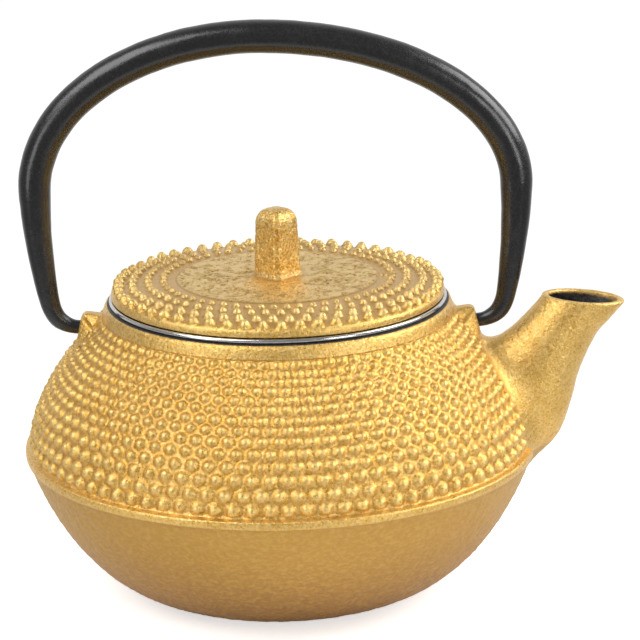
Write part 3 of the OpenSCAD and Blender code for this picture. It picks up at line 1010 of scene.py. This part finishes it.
def place_in(u, s):
    return pot.points(inner_skin(u / UREF, s), 1.0, 0.3)


punch(pot, ids_in, u_in, s_in, wj, [(loop_j, skin[-1])], 0.35, place_in, flip=True)
keep_in = np.ones((len(s_in) - 1, N_IN), bool)
keep_in[wj[0]:wj[1], wj[2]:wj[3]] = False
pot.grid(ids_in, True, flip=True, keep=keep_in)
c_in = pot.points(np.array([[0, 0, PIN[0, 1]]]), 1.0, 0.3)[0]
pot.fan(ids_in[0], c_in, False)
# ledge and bore
led = []
for r0, z0, mk in ((BORE + 0.15, 59.2, 1.0), (BORE, 59.35, 1.0), (BORE, 60.6, 1.0), (BORE, 62.2, 1.0), (BORE, 63.4 + NECK_TOP - 64.0, 0.9)):
    led.append(pot.points(np.stack([r0 * np.cos(col_i), r0 * np.sin(col_i), np.full(N_IN, z0)], -1), mk, 0.3))
pot.grid(np.stack([ids_in[-1], *led]), True, flip=True)
pot.bridge(ids[-1], led[-1])
pot_obj = pot.build("pot_casting", GOLD, "pot", ["pot_body"])


# ---------------------------------------------------------------------------
# Lid: studded ring, raised disc, chamfered square knob, steam vent
# ---------------------------------------------------------------------------
NL = 684
LSTUDS = 57
lid = Shell()
tz = SEAT - 64.75
outer_prof = np.array([(22.55, 68.56), (23.2, 68.60), (24.8, 68.60), (26.0, 68.58), (27.9, 68.42), (30.0, 68.2), (31.6, 67.86),
                       (33.0, 67.56), (34.0, 67.36), (34.9, 67.22), (35.5, 67.12), (35.85, 66.98), (36.1, 66.78), (36.28, 66.5),
                       (36.37, 66.1), (LID_R, 65.66), (36.37, 65.42), (36.25, 65.25), (36.05, 65.12), (35.8, 65.03), (35.5, 64.93),
                       (35.2, 64.84), (34.9, 64.77), (34.6, 64.75)])
outer_prof[:, 1] += tz
LP = resample(outer_prof, 0.05)
LP_S = np.concatenate([[0], np.cumsum(np.sqrt((np.diff(LP, axis=0) ** 2).sum(1)))])
lt = np.gradient(LP, LP_S, axis=0)
lt /= np.sqrt((lt ** 2).sum(1))[:, None]
LP_N = np.stack([-lt[:, 1], lt[:, 0]], 1)
LP_TOP = int(np.argmax(LP[:, 0]))
L_ROW_R = np.array([34.8, 31.65, 28.3, 25.0])
L_ROW_S = np.interp(L_ROW_R, LP[:LP_TOP, 0], LP_S[:LP_TOP])
L_RAD = np.array([1.22, 1.07, 0.94, 0.83])
L_H = np.array([1.42, 1.20, 0.97, 0.80])
lid_jit = rng.normal(0, 1, (4, LSTUDS, 4))
VENT = (23.3, 1.1)


def lid_skin(theta, s):
    theta, s = np.broadcast_arrays(np.asarray(theta, float), np.asarray(s, float))
    shape = theta.shape
    theta, s = theta.reshape(-1), s.reshape(-1)
    r, z = np.interp(s, LP_S, LP[:, 0]), np.interp(s, LP_S, LP[:, 1])
    nr, nz = np.interp(s, LP_S, LP_N[:, 0]), np.interp(s, LP_S, LP_N[:, 1])
    h = np.zeros(theta.shape)
    for k in range(4):
        turn = theta / TAU * LSTUDS - 0.5 * (k % 2)
        c = np.round(turn).astype(int)
        j = lid_jit[k, c % LSTUDS]
        du = (turn - c) * TAU / LSTUDS * r + j[:, 0] * 0.06
        dv = s - L_ROW_S[k] + j[:, 1] * 0.06
        d = np.sqrt(du ** 2 + dv ** 2) / (L_RAD[k] * (1 + 0.05 * j[:, 2]))
        top = np.clip(1 - d ** 2.3, 0, 1)
        h = np.maximum(h, L_H[k] * (1 + 0.07 * j[:, 3]) * top ** 0.66)
    x, y = r * np.cos(theta), r * np.sin(theta)
    h *= smooth(np.hypot(x - VENT[0], y), 1.5, 2.3)
    p = np.stack([x, y, z], -1)
    rough = 0.035 * fbm(p / 0.8, 5, 2)
    edge = smooth(s, LP_S[-1], LP_S[-1] - 0.8)
    smoothed = smooth(r, 35.4, 35.9)
    rough *= edge * (1 - 0.7 * smoothed)
    disp = h + rough
    rr, zz = r + nr * disp, z + nz * disp
    out = np.stack([rr * np.cos(theta), rr * np.sin(theta), zz], -1)
    # relief sets the painted light: studs paler towards their tips as painted highlight, the ground darker as painted
    # shade, and the smooth outer rim held paler as a painted highlight band
    relief = np.clip(0.32 + 0.6 * h / 1.2, 0, 1)
    relief = relief * (1 - smoothed) + 0.66 * smoothed
    return out.reshape(shape + (3,)), relief.reshape(shape)


l_rows = [np.linspace(0, L_ROW_S[3], 9)[:-1]]
for a, b in ((3, 2), (2, 1), (1, 0)):
    l_rows.append(np.linspace(L_ROW_S[a], L_ROW_S[b], 11)[:-1])
l_rows.append(np.linspace(L_ROW_S[0], LP_S[-1], 26))
LS = np.concatenate(l_rows)
col_l = (np.arange(NL) - NL // 2) / NL * TAU
p, rel = lid_skin(col_l[None, :], LS[:, None])
# the skin past the outer edge, under the overhang, takes the ceiling's black enamel colour; this dark band also stands
# in for the shade in the gap above the infuser's bead
dark = smooth(LS, LP_S[LP_TOP] + 0.35, LP_S[LP_TOP] + 0.95)
idl = lid.points(p, np.broadcast_to(dark[:, None], p.shape[:2]), rel)

# raised disc and knob, one polar table running inward and up the post
DISC_R = 22.2


def post_r(theta, w, round_p=26):
    """Radius of the chamfered square with half width w across its edges."""
    c = 0.13
    flat = w * (1 + c) / math.sqrt(2)
    t = theta
    inv = np.zeros(np.shape(t))
    for q in range(4):
        inv += np.maximum(np.cos(t - q * math.pi / 2) / w, 1e-6) ** round_p
        inv += np.maximum(np.cos(t - math.pi / 4 - q * math.pi / 2) / flat, 1e-6) ** round_p
    return inv ** (-1.0 / round_p)


def disc_z(r):
    return np.interp(r, [0, 12, 20.9, 21.5, 21.85, 22.1, 22.3, 22.55], [69.2, 69.1, 68.92, 68.88, 68.80, 68.69, 68.60, 68.56]) + tz


def disc_skin(theta, r):
    theta, r = np.broadcast_arrays(theta, r)
    p = np.stack([r * np.cos(theta), r * np.sin(theta), disc_z(r)], -1)
    q = p / np.array([1.25, 0.62, 1.0])
    q = q + 0.3 * np.stack([vnoise(q * 0.7 + 2, 56), vnoise(q * 0.7 + 6, 57), 0 * q[..., 0]], -1)
    line = 1 - smooth(np.abs(vnoise(q, 51)), 0.02, 0.16)
    line2 = 1 - smooth(np.abs(vnoise(q * 1.6 + 3, 52)), 0.02, 0.20)
    dents = -line * smooth(vnoise(p / 1.6, 54), -0.15, 0.2) - 0.8 * line2 * smooth(vnoise(p / 1.3 + 4, 55), -0.05, 0.25)
    fade = smooth(r, 22.2, 21.4) * smooth(r, 5.6, 7.2)
    lift = (0.29 * (dents + 0.25) + 0.06 * fbm(p / 0.6, 53, 2)) * fade
    p[..., 2] += lift
    # the disc is painted darker along the step at its edge, as shade, and darker in the stroke dents and paler on their
    # raised parts, as painted shade and highlight
    ring = 1 - smooth(np.abs(r - 22.12), 0.08, 0.34)
    return p, np.clip(0.50 + 3.4 * lift - 0.42 * ring, 0.0, 1.0)


disc_rows = [22.42, 22.3, 22.15, 21.95, 21.7, 21.4, 21.0]
r_now = 20.65
while r_now > 13.4:
    disc_rows.append(r_now)
    r_now -= 0.30
r_ring = disc_rows[-1]
p, rel = disc_skin(col_l[None, :], np.array(disc_rows)[:, None])
idd = lid.points(p, 0, rel)
lid.grid(np.concatenate([idd[::-1], idl[:1]]), True, flip=True)
foot_out = post_r(col_l, 6.9, 10)
k_rows = []
for f in np.linspace(0, 1, 22)[1:]:
    r = r_ring * (1 - f) + foot_out * f
    q, rel = disc_skin(col_l, r)
    k_rows.append(lid.points(q, 0, rel))
lid.grid(np.stack([idd[-1], *k_rows]), True, flip=True)
NK = NL // 3
col_k = (np.arange(NK) - NK // 2) / NK * TAU
p_rows = []
# the post: fillet, sides and pillow top
w_foot, w_top = 4.95, 4.5
steps = [(6.45, 69.17), (5.9, 69.24), (5.5, 69.42), (5.22, 69.72), (5.05, 70.1)]
for z0 in np.arange(70.4, KNOB_TOP - 3.3, 0.21):
    steps.append((np.interp(z0, [70.4, KNOB_TOP - 3], [w_foot, w_top]), z0))
for a in np.radians(np.array([0, 10, 20, 30, 40, 50, 60, 70, 78, 84])):
    steps.append((w_top - 3.2 + 3.2 * math.cos(a) ** 0.85, KNOB_TOP - 3.25 + 3.15 * math.sin(a)))
for wz, z0 in steps:
    pw = 56 if z0 < KNOB_TOP - 3 else float(np.interp(z0, [KNOB_TOP - 3, KNOB_TOP], [44, 7]))
    r = post_r(col_k, wz, pw)
    q = np.stack([r * np.cos(col_k), r * np.sin(col_k), np.full(NK, z0)], -1)
    amt = (0.07 * fbm(q / 2.4, 61, 2) + 0.045 * fbm(q / 0.62, 62, 2) - 0.06 * smooth(vnoise(q / 0.72, 63), 0.12, 0.42)
           + 0.045 * vnoise(q / 0.42, 64)) * smooth(np.array(z0), 69.1, 69.6)
    q[:, 0] += np.cos(col_k) * amt
    q[:, 1] += np.sin(col_k) * amt
    # the knob's foot below 69.9 is painted darker, as shade where it meets the disc, its pits darker and bumps paler as
    # painted shade and highlight, and the top rows after this loop are held a little paler, as painted highlight
    p_rows.append(lid.points(q, 0, np.clip((0.34 if z0 < 69.9 else 0.60) + 3.2 * amt, 0.05, 1)))
for f in (0.72, 0.48, 0.24):
    r = post_r(col_k, w_top - 3.2 + 3.2 * math.cos(math.radians(84)) ** 0.85, 7) * f
    q = np.stack([r * np.cos(col_k), r * np.sin(col_k), np.full(NK, KNOB_TOP - 0.02 - 0.08 * f * f)], -1)
    p_rows.append(lid.points(q, 0, 0.7))
lid.bridge(k_rows[-1], p_rows[0], True)
lid.grid(np.stack(p_rows), True, flip=True)
tip = lid.points(np.array([[0, 0, KNOB_TOP]]), 0, 0.7)[0]
lid.fan(p_rows[-1], tip, True)

# vent, cut through the top skin and the ceiling
NV = 28
vphi = np.arange(NV) / NV * TAU
vx, vy = VENT[0] + VENT[1] * np.cos(vphi), VENT[1] * np.sin(vphi)
v_th, v_r = np.arctan2(vy, vx), np.hypot(vx, vy)
v_s = np.interp(v_r, LP[:LP_TOP, 0], LP_S[:LP_TOP])
vq, vrel = lid_skin(v_th, v_s)
vq[:, 2] -= 0.05
id_v = lid.points(vq, 0, 0.4)
UL = 24.0
loop_v = np.stack([v_th * UL, v_s], 1)
u_l = col_l * UL
wv = (0, int(np.searchsorted(LS, v_s.max() + 0.5)), int(np.searchsorted(u_l, -1.7)), int(np.searchsorted(u_l, 1.7)))


def place_lid(u, s):
    q, rel = lid_skin(u / UL, s)
    return lid.points(q, 0, rel)


# the hole's inner side meets the table's first row, so the window starts on the disc's edge row
all_s = np.concatenate([(np.array(disc_rows)[::-1] - 22.55) * 1.0, LS])
all_ids = np.concatenate([idd[::-1], idl])
i_first = len(disc_rows) - 3
wv = (i_first, int(np.searchsorted(all_s, v_s.max() + 0.5)), wv[2], wv[3])
punch(lid, all_ids, u_l, all_s, wv, [(loop_v, id_v)], 0.09, place_lid, flip=True)
keep_l = np.ones((len(all_s) - 1, NL), bool)
keep_l[wv[0]:wv[1], wv[2]:wv[3]] = False
lid.quads.pop(0)  # the disc and rim are laid as one table, with the vent's window left out
lid.grid(all_ids, True, flip=True, keep=keep_l)

# underside: seat, skirt and ceiling
NU = 240
col_u = (np.arange(NU) - NU // 2) / NU * TAU
under = [(34.0, 64.75), (32.75, 64.75), (32.42, 64.66), (32.3, 64.4), (32.25, 64.0), (32.1, 62.5), (31.96, 61.0), (31.9, 60.35),
         (31.8, 60.1), (31.6, 60.0), (31.3, 60.0), (31.1, 60.1), (31.0, 60.35), (30.9, 62.0), (30.75, 64.0), (30.62, 65.0),
         (30.45, 65.28), (30.1, 65.35), (27.5, 65.35), (25.2, 65.35), (23.3, 65.35), (21.4, 65.35), (19.5, 65.35), (15, 65.35),
         (10, 65.35), (5, 65.35)]
under = np.array(under) + [0, tz]
pu = revolve(under, NU)
pu = np.stack([under[:, 0][:, None] * np.cos(col_u), under[:, 0][:, None] * np.sin(col_u), np.broadcast_to(under[:, 1][:, None], (len(under), NU))], -1)
pu[:, :, 2] += np.where(under[:, 0][:, None] < 30, 0.03 * fbm(pu / 1.4, 71, 2), 0)
idu = lid.points(pu, 1.0, 0.45)
lid.bridge(idl[-1], idu[0], True)
us = np.concatenate([[0], np.cumsum(np.sqrt((np.diff(under, axis=0) ** 2).sum(1)))])
ku = np.nonzero(under[:, 0] < 30.2)[0]
uv_s = np.interp(-v_r, -under[ku, 0], us[ku])
uvq = np.stack([vx, vy, np.full(NV, 65.35 + tz)], -1)
id_vu = lid.points(uvq, 1.0, 0.3)
u_u = col_u * UL
wu = (int(np.nonzero(under[:, 0] == 27.5)[0][0]), int(np.nonzero(under[:, 0] == 19.5)[0][0]), int(np.searchsorted(u_u, -2.5)), int(np.searchsorted(u_u, 2.5)))


def place_under(u, s):
    r = np.interp(s, us, under[:, 0])
    return lid.points(np.stack([r * np.cos(u / UL), r * np.sin(u / UL), np.full(len(r), 65.35 + tz)], -1), 1.0, 0.4)


loop_u = np.stack([v_th * UL, uv_s], 1)
punch(lid, idu, u_u, us, wu, [(loop_u, id_vu)], 0.25, place_under, flip=True)
keep_u = np.ones((len(under) - 1, NU), bool)
keep_u[wu[0]:wu[1], wu[2]:wu[3]] = False
lid.grid(idu, True, flip=True, keep=keep_u)
cu = lid.points(np.array([[0, 0, 65.35 + tz]]), 1.0, 0.4)[0]
lid.fan(idu[-1], cu, True)
va = lid.points(np.stack([vx, vy, np.full(NV, 67.0 + tz)], -1), 0, 0.2)
lid.grid(np.stack([id_v, va, id_vu]), True, flip=True)
lid_obj = lid.build("lid_casting", GOLD_LID, "cover", ["lid"])


# ---------------------------------------------------------------------------
# Bail
# ---------------------------------------------------------------------------
LEG_X = (bail_hi[0] - bail_lo[0]) / 2 - 3.5
LEG = np.array([[43, PIVOT], [44.6, PIVOT + 0.05], [46.4, PIVOT + 0.65], [48.3, PIVOT + 2], [LEG_X - 2.6, PIVOT + 4.3],
                [LEG_X - 2, PIVOT + 6.9], [LEG_X - 1.3, 69.5], [LEG_X - 0.55, 76], [LEG_X - 0.1, 82.5], [LEG_X, 88.7]])
LEG_R = np.array([1.35, 1.45, 1.7, 1.95, 2.05, 2.2, 2.48, 2.84, 3.2, 3.5])
ARCH_C = ARCH_TOP - 3.6
t = np.linspace(0, 8.9, 90)
lp, lr = knots(LEG, t), knots(LEG_R, t)
lr = np.where(lp[:, 0] < 45.2, np.maximum(lr, np.interp(lp[:, 0], [43, 44.4, 45.2], [1.5, 1.5, 1.56])), lr)
right = np.column_stack([lp, lr])
left = np.column_stack([-lp[:, 0], lp[:, 1], lr])[::-1]
a = np.radians(np.linspace(0, 180, 150))
arch = np.column_stack([-3.5 + (LEG_X + np.where(a <= math.pi / 2, 3.5, -3.5)) * np.cos(a), 88.7 + (ARCH_C - 88.7) * np.sin(a),
                        3.5 + 0.1 * np.minimum(1, 3 * np.sin(a))])
pin = np.array([[39.7, PIVOT, 1.5], [41, PIVOT, 1.5], [42.2, PIVOT, 1.5]])
path = np.concatenate([pin, right, arch, left, pin[::-1] * [-1, 1, 1]])
path = resample(path, 0.7)
for _ in range(2):
    path[1:-1] = (path[:-2] + 2 * path[1:-1] + path[2:]) / 4
d = np.gradient(path[:, :2], axis=0)
d /= np.sqrt((d ** 2).sum(1))[:, None]
d[0], d[-1] = (1, 0), (1, 0)
NBS = 48
f = np.arange(NBS) / NBS * TAU
run = np.concatenate([[0], np.cumsum(np.sqrt((np.diff(path[:, :2], axis=0) ** 2).sum(1)))])
bail = Shell()
px = path[:, 0][:, None] - path[:, 2][:, None] * np.cos(f) * d[:, 1][:, None]
py = -path[:, 2][:, None] * np.sin(f)
pz = path[:, 1][:, None] + path[:, 2][:, None] * np.cos(f) * d[:, 0][:, None]
q = np.stack([px, np.broadcast_to(py, px.shape), pz], -1)
grow = 0.045 * fbm(q / np.array([4.0, 4.0, 4.0]), 81, 2) + 0.012 * fbm(q / 0.9, 83, 2)
grow *= (smooth(np.abs(path[:, 0]), 44.9, 46.5) if False else np.where(path[:, 1] > PIVOT + 1.2, 1.0, 0.15))[:, None]
nrm = np.stack([-np.cos(f) * d[:, 1][:, None], np.broadcast_to(-np.sin(f), px.shape), np.cos(f) * d[:, 0][:, None]], -1)
q = q + nrm * grow[..., None]
idx = bail.points(q, 0, 0.5)
bail.grid(idx, True)
for end, sx in ((0, 1), (-1, -1)):
    ring = q[end]
    c = ring.mean(0)
    inner = c + (ring - c) * 0.86 - np.array([sx * 0.12, 0, 0])
    inner2 = c + (ring - c) * 0.5 - np.array([sx * 0.14, 0, 0])
    a1, a2 = bail.points(inner, 0, 0.5), bail.points(inner2, 0, 0.5)
    ct = bail.points((c - np.array([sx * 0.14, 0, 0]))[None], 0, 0.5)[0]
    if end == 0:
        bail.grid(np.stack([a2, a1, idx[0]]), True)
        bail.fan(a2, ct, True)
    else:
        bail.grid(np.stack([idx[-1], a1, a2]), True)
        bail.fan(a2, ct)
bail_obj = bail.build("bail", BLACK, "bail", ["bail_handle"])


# ---------------------------------------------------------------------------
# Infuser
# ---------------------------------------------------------------------------
def ring_solid(name, profile, n, material, nodes, wobble=0.0):
    """A closed profile of (r, z), anticlockwise in the RZ plane, turned about Z."""
    s = Shell()
    p = revolve(profile, n)
    ids = s.points(p, 0, 0.5)
    ids = np.concatenate([ids, ids[:1]])
    s.grid(ids, True)
    return s.build(name, material, "infuser", nodes, 50)


c0 = 32.6
zc = rim_lo[2]
prof = [(c0, zc + 0.08), (c0 + 0.08, zc), (c0 + 0.42, zc), (c0 + 0.5, zc + 0.08)]
prof += [(c0 + 0.5, z) for z in (60.5, 62.0, 63.3)]
prof += [(c0 + 0.53, RIM_Z - 0.28), (c0 + 0.62, RIM_Z - 0.10), (c0 + 0.8, RIM_Z), (34.2, RIM_Z), (35.2, RIM_Z), (35.8, RIM_Z + 0.01)]
prof += arc(BEAD_C, BEAD_Z, BEAD, 222, 498, 28)
prof += [(35.9, RIM_Z + 0.56), (35.6, RIM_Z + 0.5), (34.4, RIM_Z + 0.5), (33.4, RIM_Z + 0.5), (c0 + 0.28, RIM_Z + 0.46), (c0 + 0.08, RIM_Z + 0.32),
         (c0, RIM_Z + 0.1)]
prof += [(c0, z) for z in (63.2, 62.0, 60.5)]
rim_obj = ring_solid("infuser_rim_ring", prof, 288, STEEL, ["infuser_rim"])


def wires(shell, lines, radius, closed, sides=5):
    """Tubes along each line of points."""
    f = np.arange(sides) / sides * TAU
    for line in lines:
        line = np.asarray(line)
        if closed:
            tan = np.roll(line, -1, 0) - np.roll(line, 1, 0)
        else:
            tan = np.gradient(line, axis=0)
        tan /= np.sqrt((tan ** 2).sum(1))[:, None]
        up = np.zeros_like(line)
        up[:, 0], up[:, 1] = line[:, 0], line[:, 1]
        flat = np.sqrt((up ** 2).sum(1)) < 1e-6
        up[flat] = (1, 0, 0)
        if abs(tan[:, 2]).mean() < 0.5 and not closed:
            up[:] = (0, 0, 1)
        side = np.cross(tan, up)
        side /= np.sqrt((side ** 2).sum(1))[:, None]
        up = np.cross(side, tan)
        ring = line[:, None, :] + radius * (np.cos(f)[None, :, None] * side[:, None, :] + np.sin(f)[None, :, None] * up[:, None, :])
        ids = shell.points(ring, 0, 0.5)
        if closed:
            shell.grid(np.concatenate([ids, ids[:1]]), True)
        else:
            shell.grid(ids, True)
            for e, flip in ((0, True), (-1, False)):
                c = shell.points(line[e][None], 0, 0.5)[0]
                shell.fan(ids[e], c, flip)


wall_mesh = Shell()
N_UP, WIRE_R = 184, 0.17
z0, z1 = mesh_lo[2] + 0.1, mesh_hi[2] - 0.15
pitch = (z1 - z0) / 26


def wall_r(z):
    return np.interp(z, [mesh_lo[2], 59.4, mesh_hi[2]], [31.15, 32.30, 32.32])


ups, rounds = [], []
zz = np.linspace(z0, z1, 26 * 2 + 1)
for k in range(N_UP):
    a = k / N_UP * TAU
    r = wall_r(zz) + 0.13 * np.cos(math.pi * (zz - z0) / pitch + math.pi * k)
    ups.append(np.stack([r * math.cos(a), r * math.sin(a), zz], -1))
aa = np.arange(N_UP * 2) / (N_UP * 2) * TAU
for k in range(27):
    zk = z0 + k * pitch
    r = wall_r(zk) - 0.13 * np.cos(N_UP / 2 * aa * 2 / 1.0 + math.pi * k) * 1.0
    r = wall_r(zk) - 0.13 * np.cos(math.pi * np.arange(N_UP * 2) / 2 * 2 / 1.0 * 0.5 * 2 / 2 + math.pi * k)
    rounds.append(np.stack([r * np.cos(aa), r * np.sin(aa), np.full(len(aa), zk)], -1))
wires(wall_mesh, ups, WIRE_R, False)
wires(wall_mesh, rounds, WIRE_R, True)
wall_mesh.build("infuser_woven_wall", WIRE, "infuser", ["infuser_wall_mesh"])

floor_mesh = Shell()
R_D = (disc_hi[0] - disc_lo[0]) / 2 - 0.1
step = 1.15
z_d = (disc_lo[2] + disc_hi[2]) / 2 - 0.05
lines = []
count = int(R_D / step)
for k in range(-count, count + 1):
    c = k * step
    reach = math.sqrt(max(R_D ** 2 - c ** 2, 0))
    m = int(reach / step)
    if m < 1:
        continue
    tt = np.concatenate([[-reach], np.arange(-2 * m, 2 * m + 1) * step / 2, [reach]]) if reach - m * step > 0.1 else np.arange(-2 * m, 2 * m + 1) * step / 2
    dome = 0.28 * (1 - (tt ** 2 + c ** 2) / R_D ** 2)
    wave = 0.13 * np.cos(math.pi * tt / step + math.pi * k)
    lines.append(np.stack([tt, np.full(len(tt), c), z_d + dome + wave - 0.1], -1))
    lines.append(np.stack([np.full(len(tt), c), tt, z_d + dome - wave - 0.1], -1))
wires(floor_mesh, lines, WIRE_R, False)
floor_mesh.build("infuser_woven_bottom", WIRE, "infuser", ["infuser_bottom_mesh"])

b = fold_lo[2]
prof = [(29.5, b + 0.02), (29.9, b), (31.2, b), (31.55, b + 0.06), (31.72, b + 0.25), (31.78, b + 0.6), (31.9, b + 2.2), (31.95, b + 2.85),
        (31.88, b + 2.98), (31.66, b + 3.0), (31.56, b + 2.9), (31.5, b + 2.2), (31.42, b + 1.0), (31.4, b + 0.75), (31.3, b + 0.5),
        (31.05, b + 0.36), (30.8, b + 0.26), (30.4, b + 0.2), (29.6, b + 0.19), (29.45, b + 0.12)]
band_obj = ring_solid("infuser_fold_band", prof, 240, STEEL, ["infuser_bottom_band"])


# ---------------------------------------------------------------------------
# Floor, light and camera
# ---------------------------------------------------------------------------
def studio_white(name, colour, rough=0.9):
    m = Nodes(name)
    tone = m.mix(m.span(m.noise(3.0, 2), 0.3, 0.7, 0.0, 1.0), colour, tuple(c * 0.985 for c in colour))
    m.set(base_color=tone, roughness=rough)
    m.bsdf.inputs["Specular IOR Level"].default_value = 0.2
    return m.mat


floor_me = bpy.data.meshes.new("studio_floor")
half_w = 3.0
n = 12
xs = np.linspace(-half_w, half_w, n + 1)
gx, gy = np.meshgrid(xs, xs)
co = np.stack([gx, gy, np.zeros_like(gx)], -1).reshape(-1, 3)
idf = np.arange((n + 1) ** 2).reshape(n + 1, n + 1)
fc = np.stack([idf[:-1, :-1], idf[:-1, 1:], idf[1:, 1:], idf[1:, :-1]], -1).reshape(-1, 4)
floor_me.from_pydata(co.tolist(), [], fc.tolist())
paper = studio_white("studio_floor_paper", (0.94, 0.94, 0.94))
gone = paper.node_tree.nodes.new("ShaderNodeBsdfTransparent")
both = paper.node_tree.nodes.new("ShaderNodeMixShader")
coord = paper.node_tree.nodes.new("ShaderNodeTexCoord")
size = paper.node_tree.nodes.new("ShaderNodeVectorMath")
size.operation = "LENGTH"
fade = paper.node_tree.nodes.new("ShaderNodeMapRange")
fade.interpolation_type = "SMOOTHSTEP"
fade.inputs[1].default_value, fade.inputs[2].default_value = 0.075, 0.21
link = paper.node_tree.links.new
pale = [n for n in paper.node_tree.nodes if n.type == "BSDF_PRINCIPLED"][0]
pale.inputs["Emission Color"].default_value = (1, 1, 1, 1)
seen = paper.node_tree.nodes.new("ShaderNodeLightPath")
glow = paper.node_tree.nodes.new("ShaderNodeMath")
glow.operation = "MULTIPLY"
glow.inputs[1].default_value = 0.60
paper.node_tree.links.new(seen.outputs["Is Camera Ray"], glow.inputs[0])
paper.node_tree.links.new(glow.outputs[0], pale.inputs["Emission Strength"])
link(coord.outputs["Object"], size.inputs[0])
link(size.outputs["Value"], fade.inputs[0])
link(fade.outputs[0], both.inputs[0])
link([n for n in paper.node_tree.nodes if n.type == "BSDF_PRINCIPLED"][0].outputs[0], both.inputs[1])
link(gone.outputs[0], both.inputs[2])
link(both.outputs[0], [n for n in paper.node_tree.nodes if n.type == "OUTPUT_MATERIAL"][0].inputs[0])
floor_me.materials.append(paper)
floor_ob = bpy.data.objects.new("studio_floor", floor_me)
bpy.context.scene.collection.objects.link(floor_ob)
floor_ob.location.z = FLOOR * 0.001 - 0.00005

world = bpy.data.worlds.new("studio")
bpy.context.scene.world = world
world.use_nodes = True
wt = world.node_tree
bg = wt.nodes["Background"]
ray = wt.nodes.new("ShaderNodeLightPath")
way = wt.nodes.new("ShaderNodeTexCoord")
part = wt.nodes.new("ShaderNodeSeparateXYZ")
wall_light = wt.nodes.new("ShaderNodeMapRange")
wall_light.interpolation_type = "SMOOTHSTEP"
wall_light.inputs[1].default_value, wall_light.inputs[2].default_value = 0.0, 0.9
wall_light.inputs[3].default_value, wall_light.inputs[4].default_value = 0.28, 0.84
pick = wt.nodes.new("ShaderNodeMapRange")
pick.inputs[4].default_value = 1.05
wt.links.new(way.outputs["Generated"], part.inputs[0])
wt.links.new(part.outputs["Y"], wall_light.inputs[0])
wt.links.new(ray.outputs["Is Camera Ray"], pick.inputs[0])
wt.links.new(wall_light.outputs[0], pick.inputs[3])
wt.links.new(pick.outputs[0], bg.inputs[1])
bg.inputs[0].default_value = (1, 1, 1, 1)


def soft_light(name, at, aim, size, power, colour=(1, 1, 1)):
    li = bpy.data.lights.new(name, "AREA")
    li.shape, li.size, li.size_y = "RECTANGLE", size[0], size[1]
    li.energy, li.color = power, colour
    ob = bpy.data.objects.new(name, li)
    bpy.context.scene.collection.objects.link(ob)
    ob.location = Vector(at)
    ob.rotation_euler = (Vector(aim) - Vector(at)).to_track_quat("-Z", "Y").to_euler()
    return ob


aim = (0, 0, 0.045)
soft_light("soft_left", (-0.46, -0.32, 0.66), aim, (0.55, 0.55), 3.7)
soft_light("soft_right", (0.60, 0.02, 0.46), aim, (0.45, 0.50), 3.6)
soft_light("soft_front_left", (-0.60, -0.50, 0.14), aim, (0.25, 0.45), 0.9)
soft_light("soft_front_right", (0.50, -0.56, 0.20), aim, (0.22, 0.40), 1.3)

AZ, EL, DIST, ROLL = 0.6, 18.29, 0.600, -1.24
F_PX = 2700.0
seam_c = Vector((0, 0, SEAM * 0.001))
back = Vector((math.cos(math.radians(EL)) * math.sin(math.radians(AZ)),
               -math.cos(math.radians(EL)) * math.cos(math.radians(AZ)), math.sin(math.radians(EL))))
cam = bpy.data.cameras.new("camera")
cam.lens = F_PX / 640 * 36
cam.sensor_width = 36
cam.clip_start, cam.clip_end = 0.05, 50
cam_ob = bpy.data.objects.new("camera", cam)
bpy.context.scene.collection.objects.link(cam_ob)
cam_ob.location = seam_c + back * DIST
rot = back.to_track_quat("Z", "Y").to_matrix()
# the seam's centre lands a little off the middle of the frame, so the camera turns by that much
du, dv = 280.9 - 320.0, 434.9 - 320.0
yaw, pitch_a = math.atan2(-du, F_PX), math.atan2(dv, F_PX)
rot = rot @ Matrix.Rotation(math.radians(ROLL), 3, "Z")
right_v, up_v, back_v = rot.col[0].copy(), rot.col[1].copy(), rot.col[2].copy()
# look direction through the frame's middle, given the pixel of the seam centre
x0, y0 = du / F_PX, dv / F_PX
look = (-back_v * 1.0).normalized()
q = Vector((x0, -y0, -1.0)).normalized()          # seam centre in the turned camera's own axes
fix = q.rotation_difference(Vector((0, 0, -1)))
rot = rot @ fix.to_matrix()
cam_ob.matrix_world = Matrix.LocRotScale(cam_ob.location, rot, None)
bpy.context.scene.camera = cam_ob
bpy.context.scene.view_settings.view_transform = "Standard"
bpy.context.scene.view_settings.look = "None"
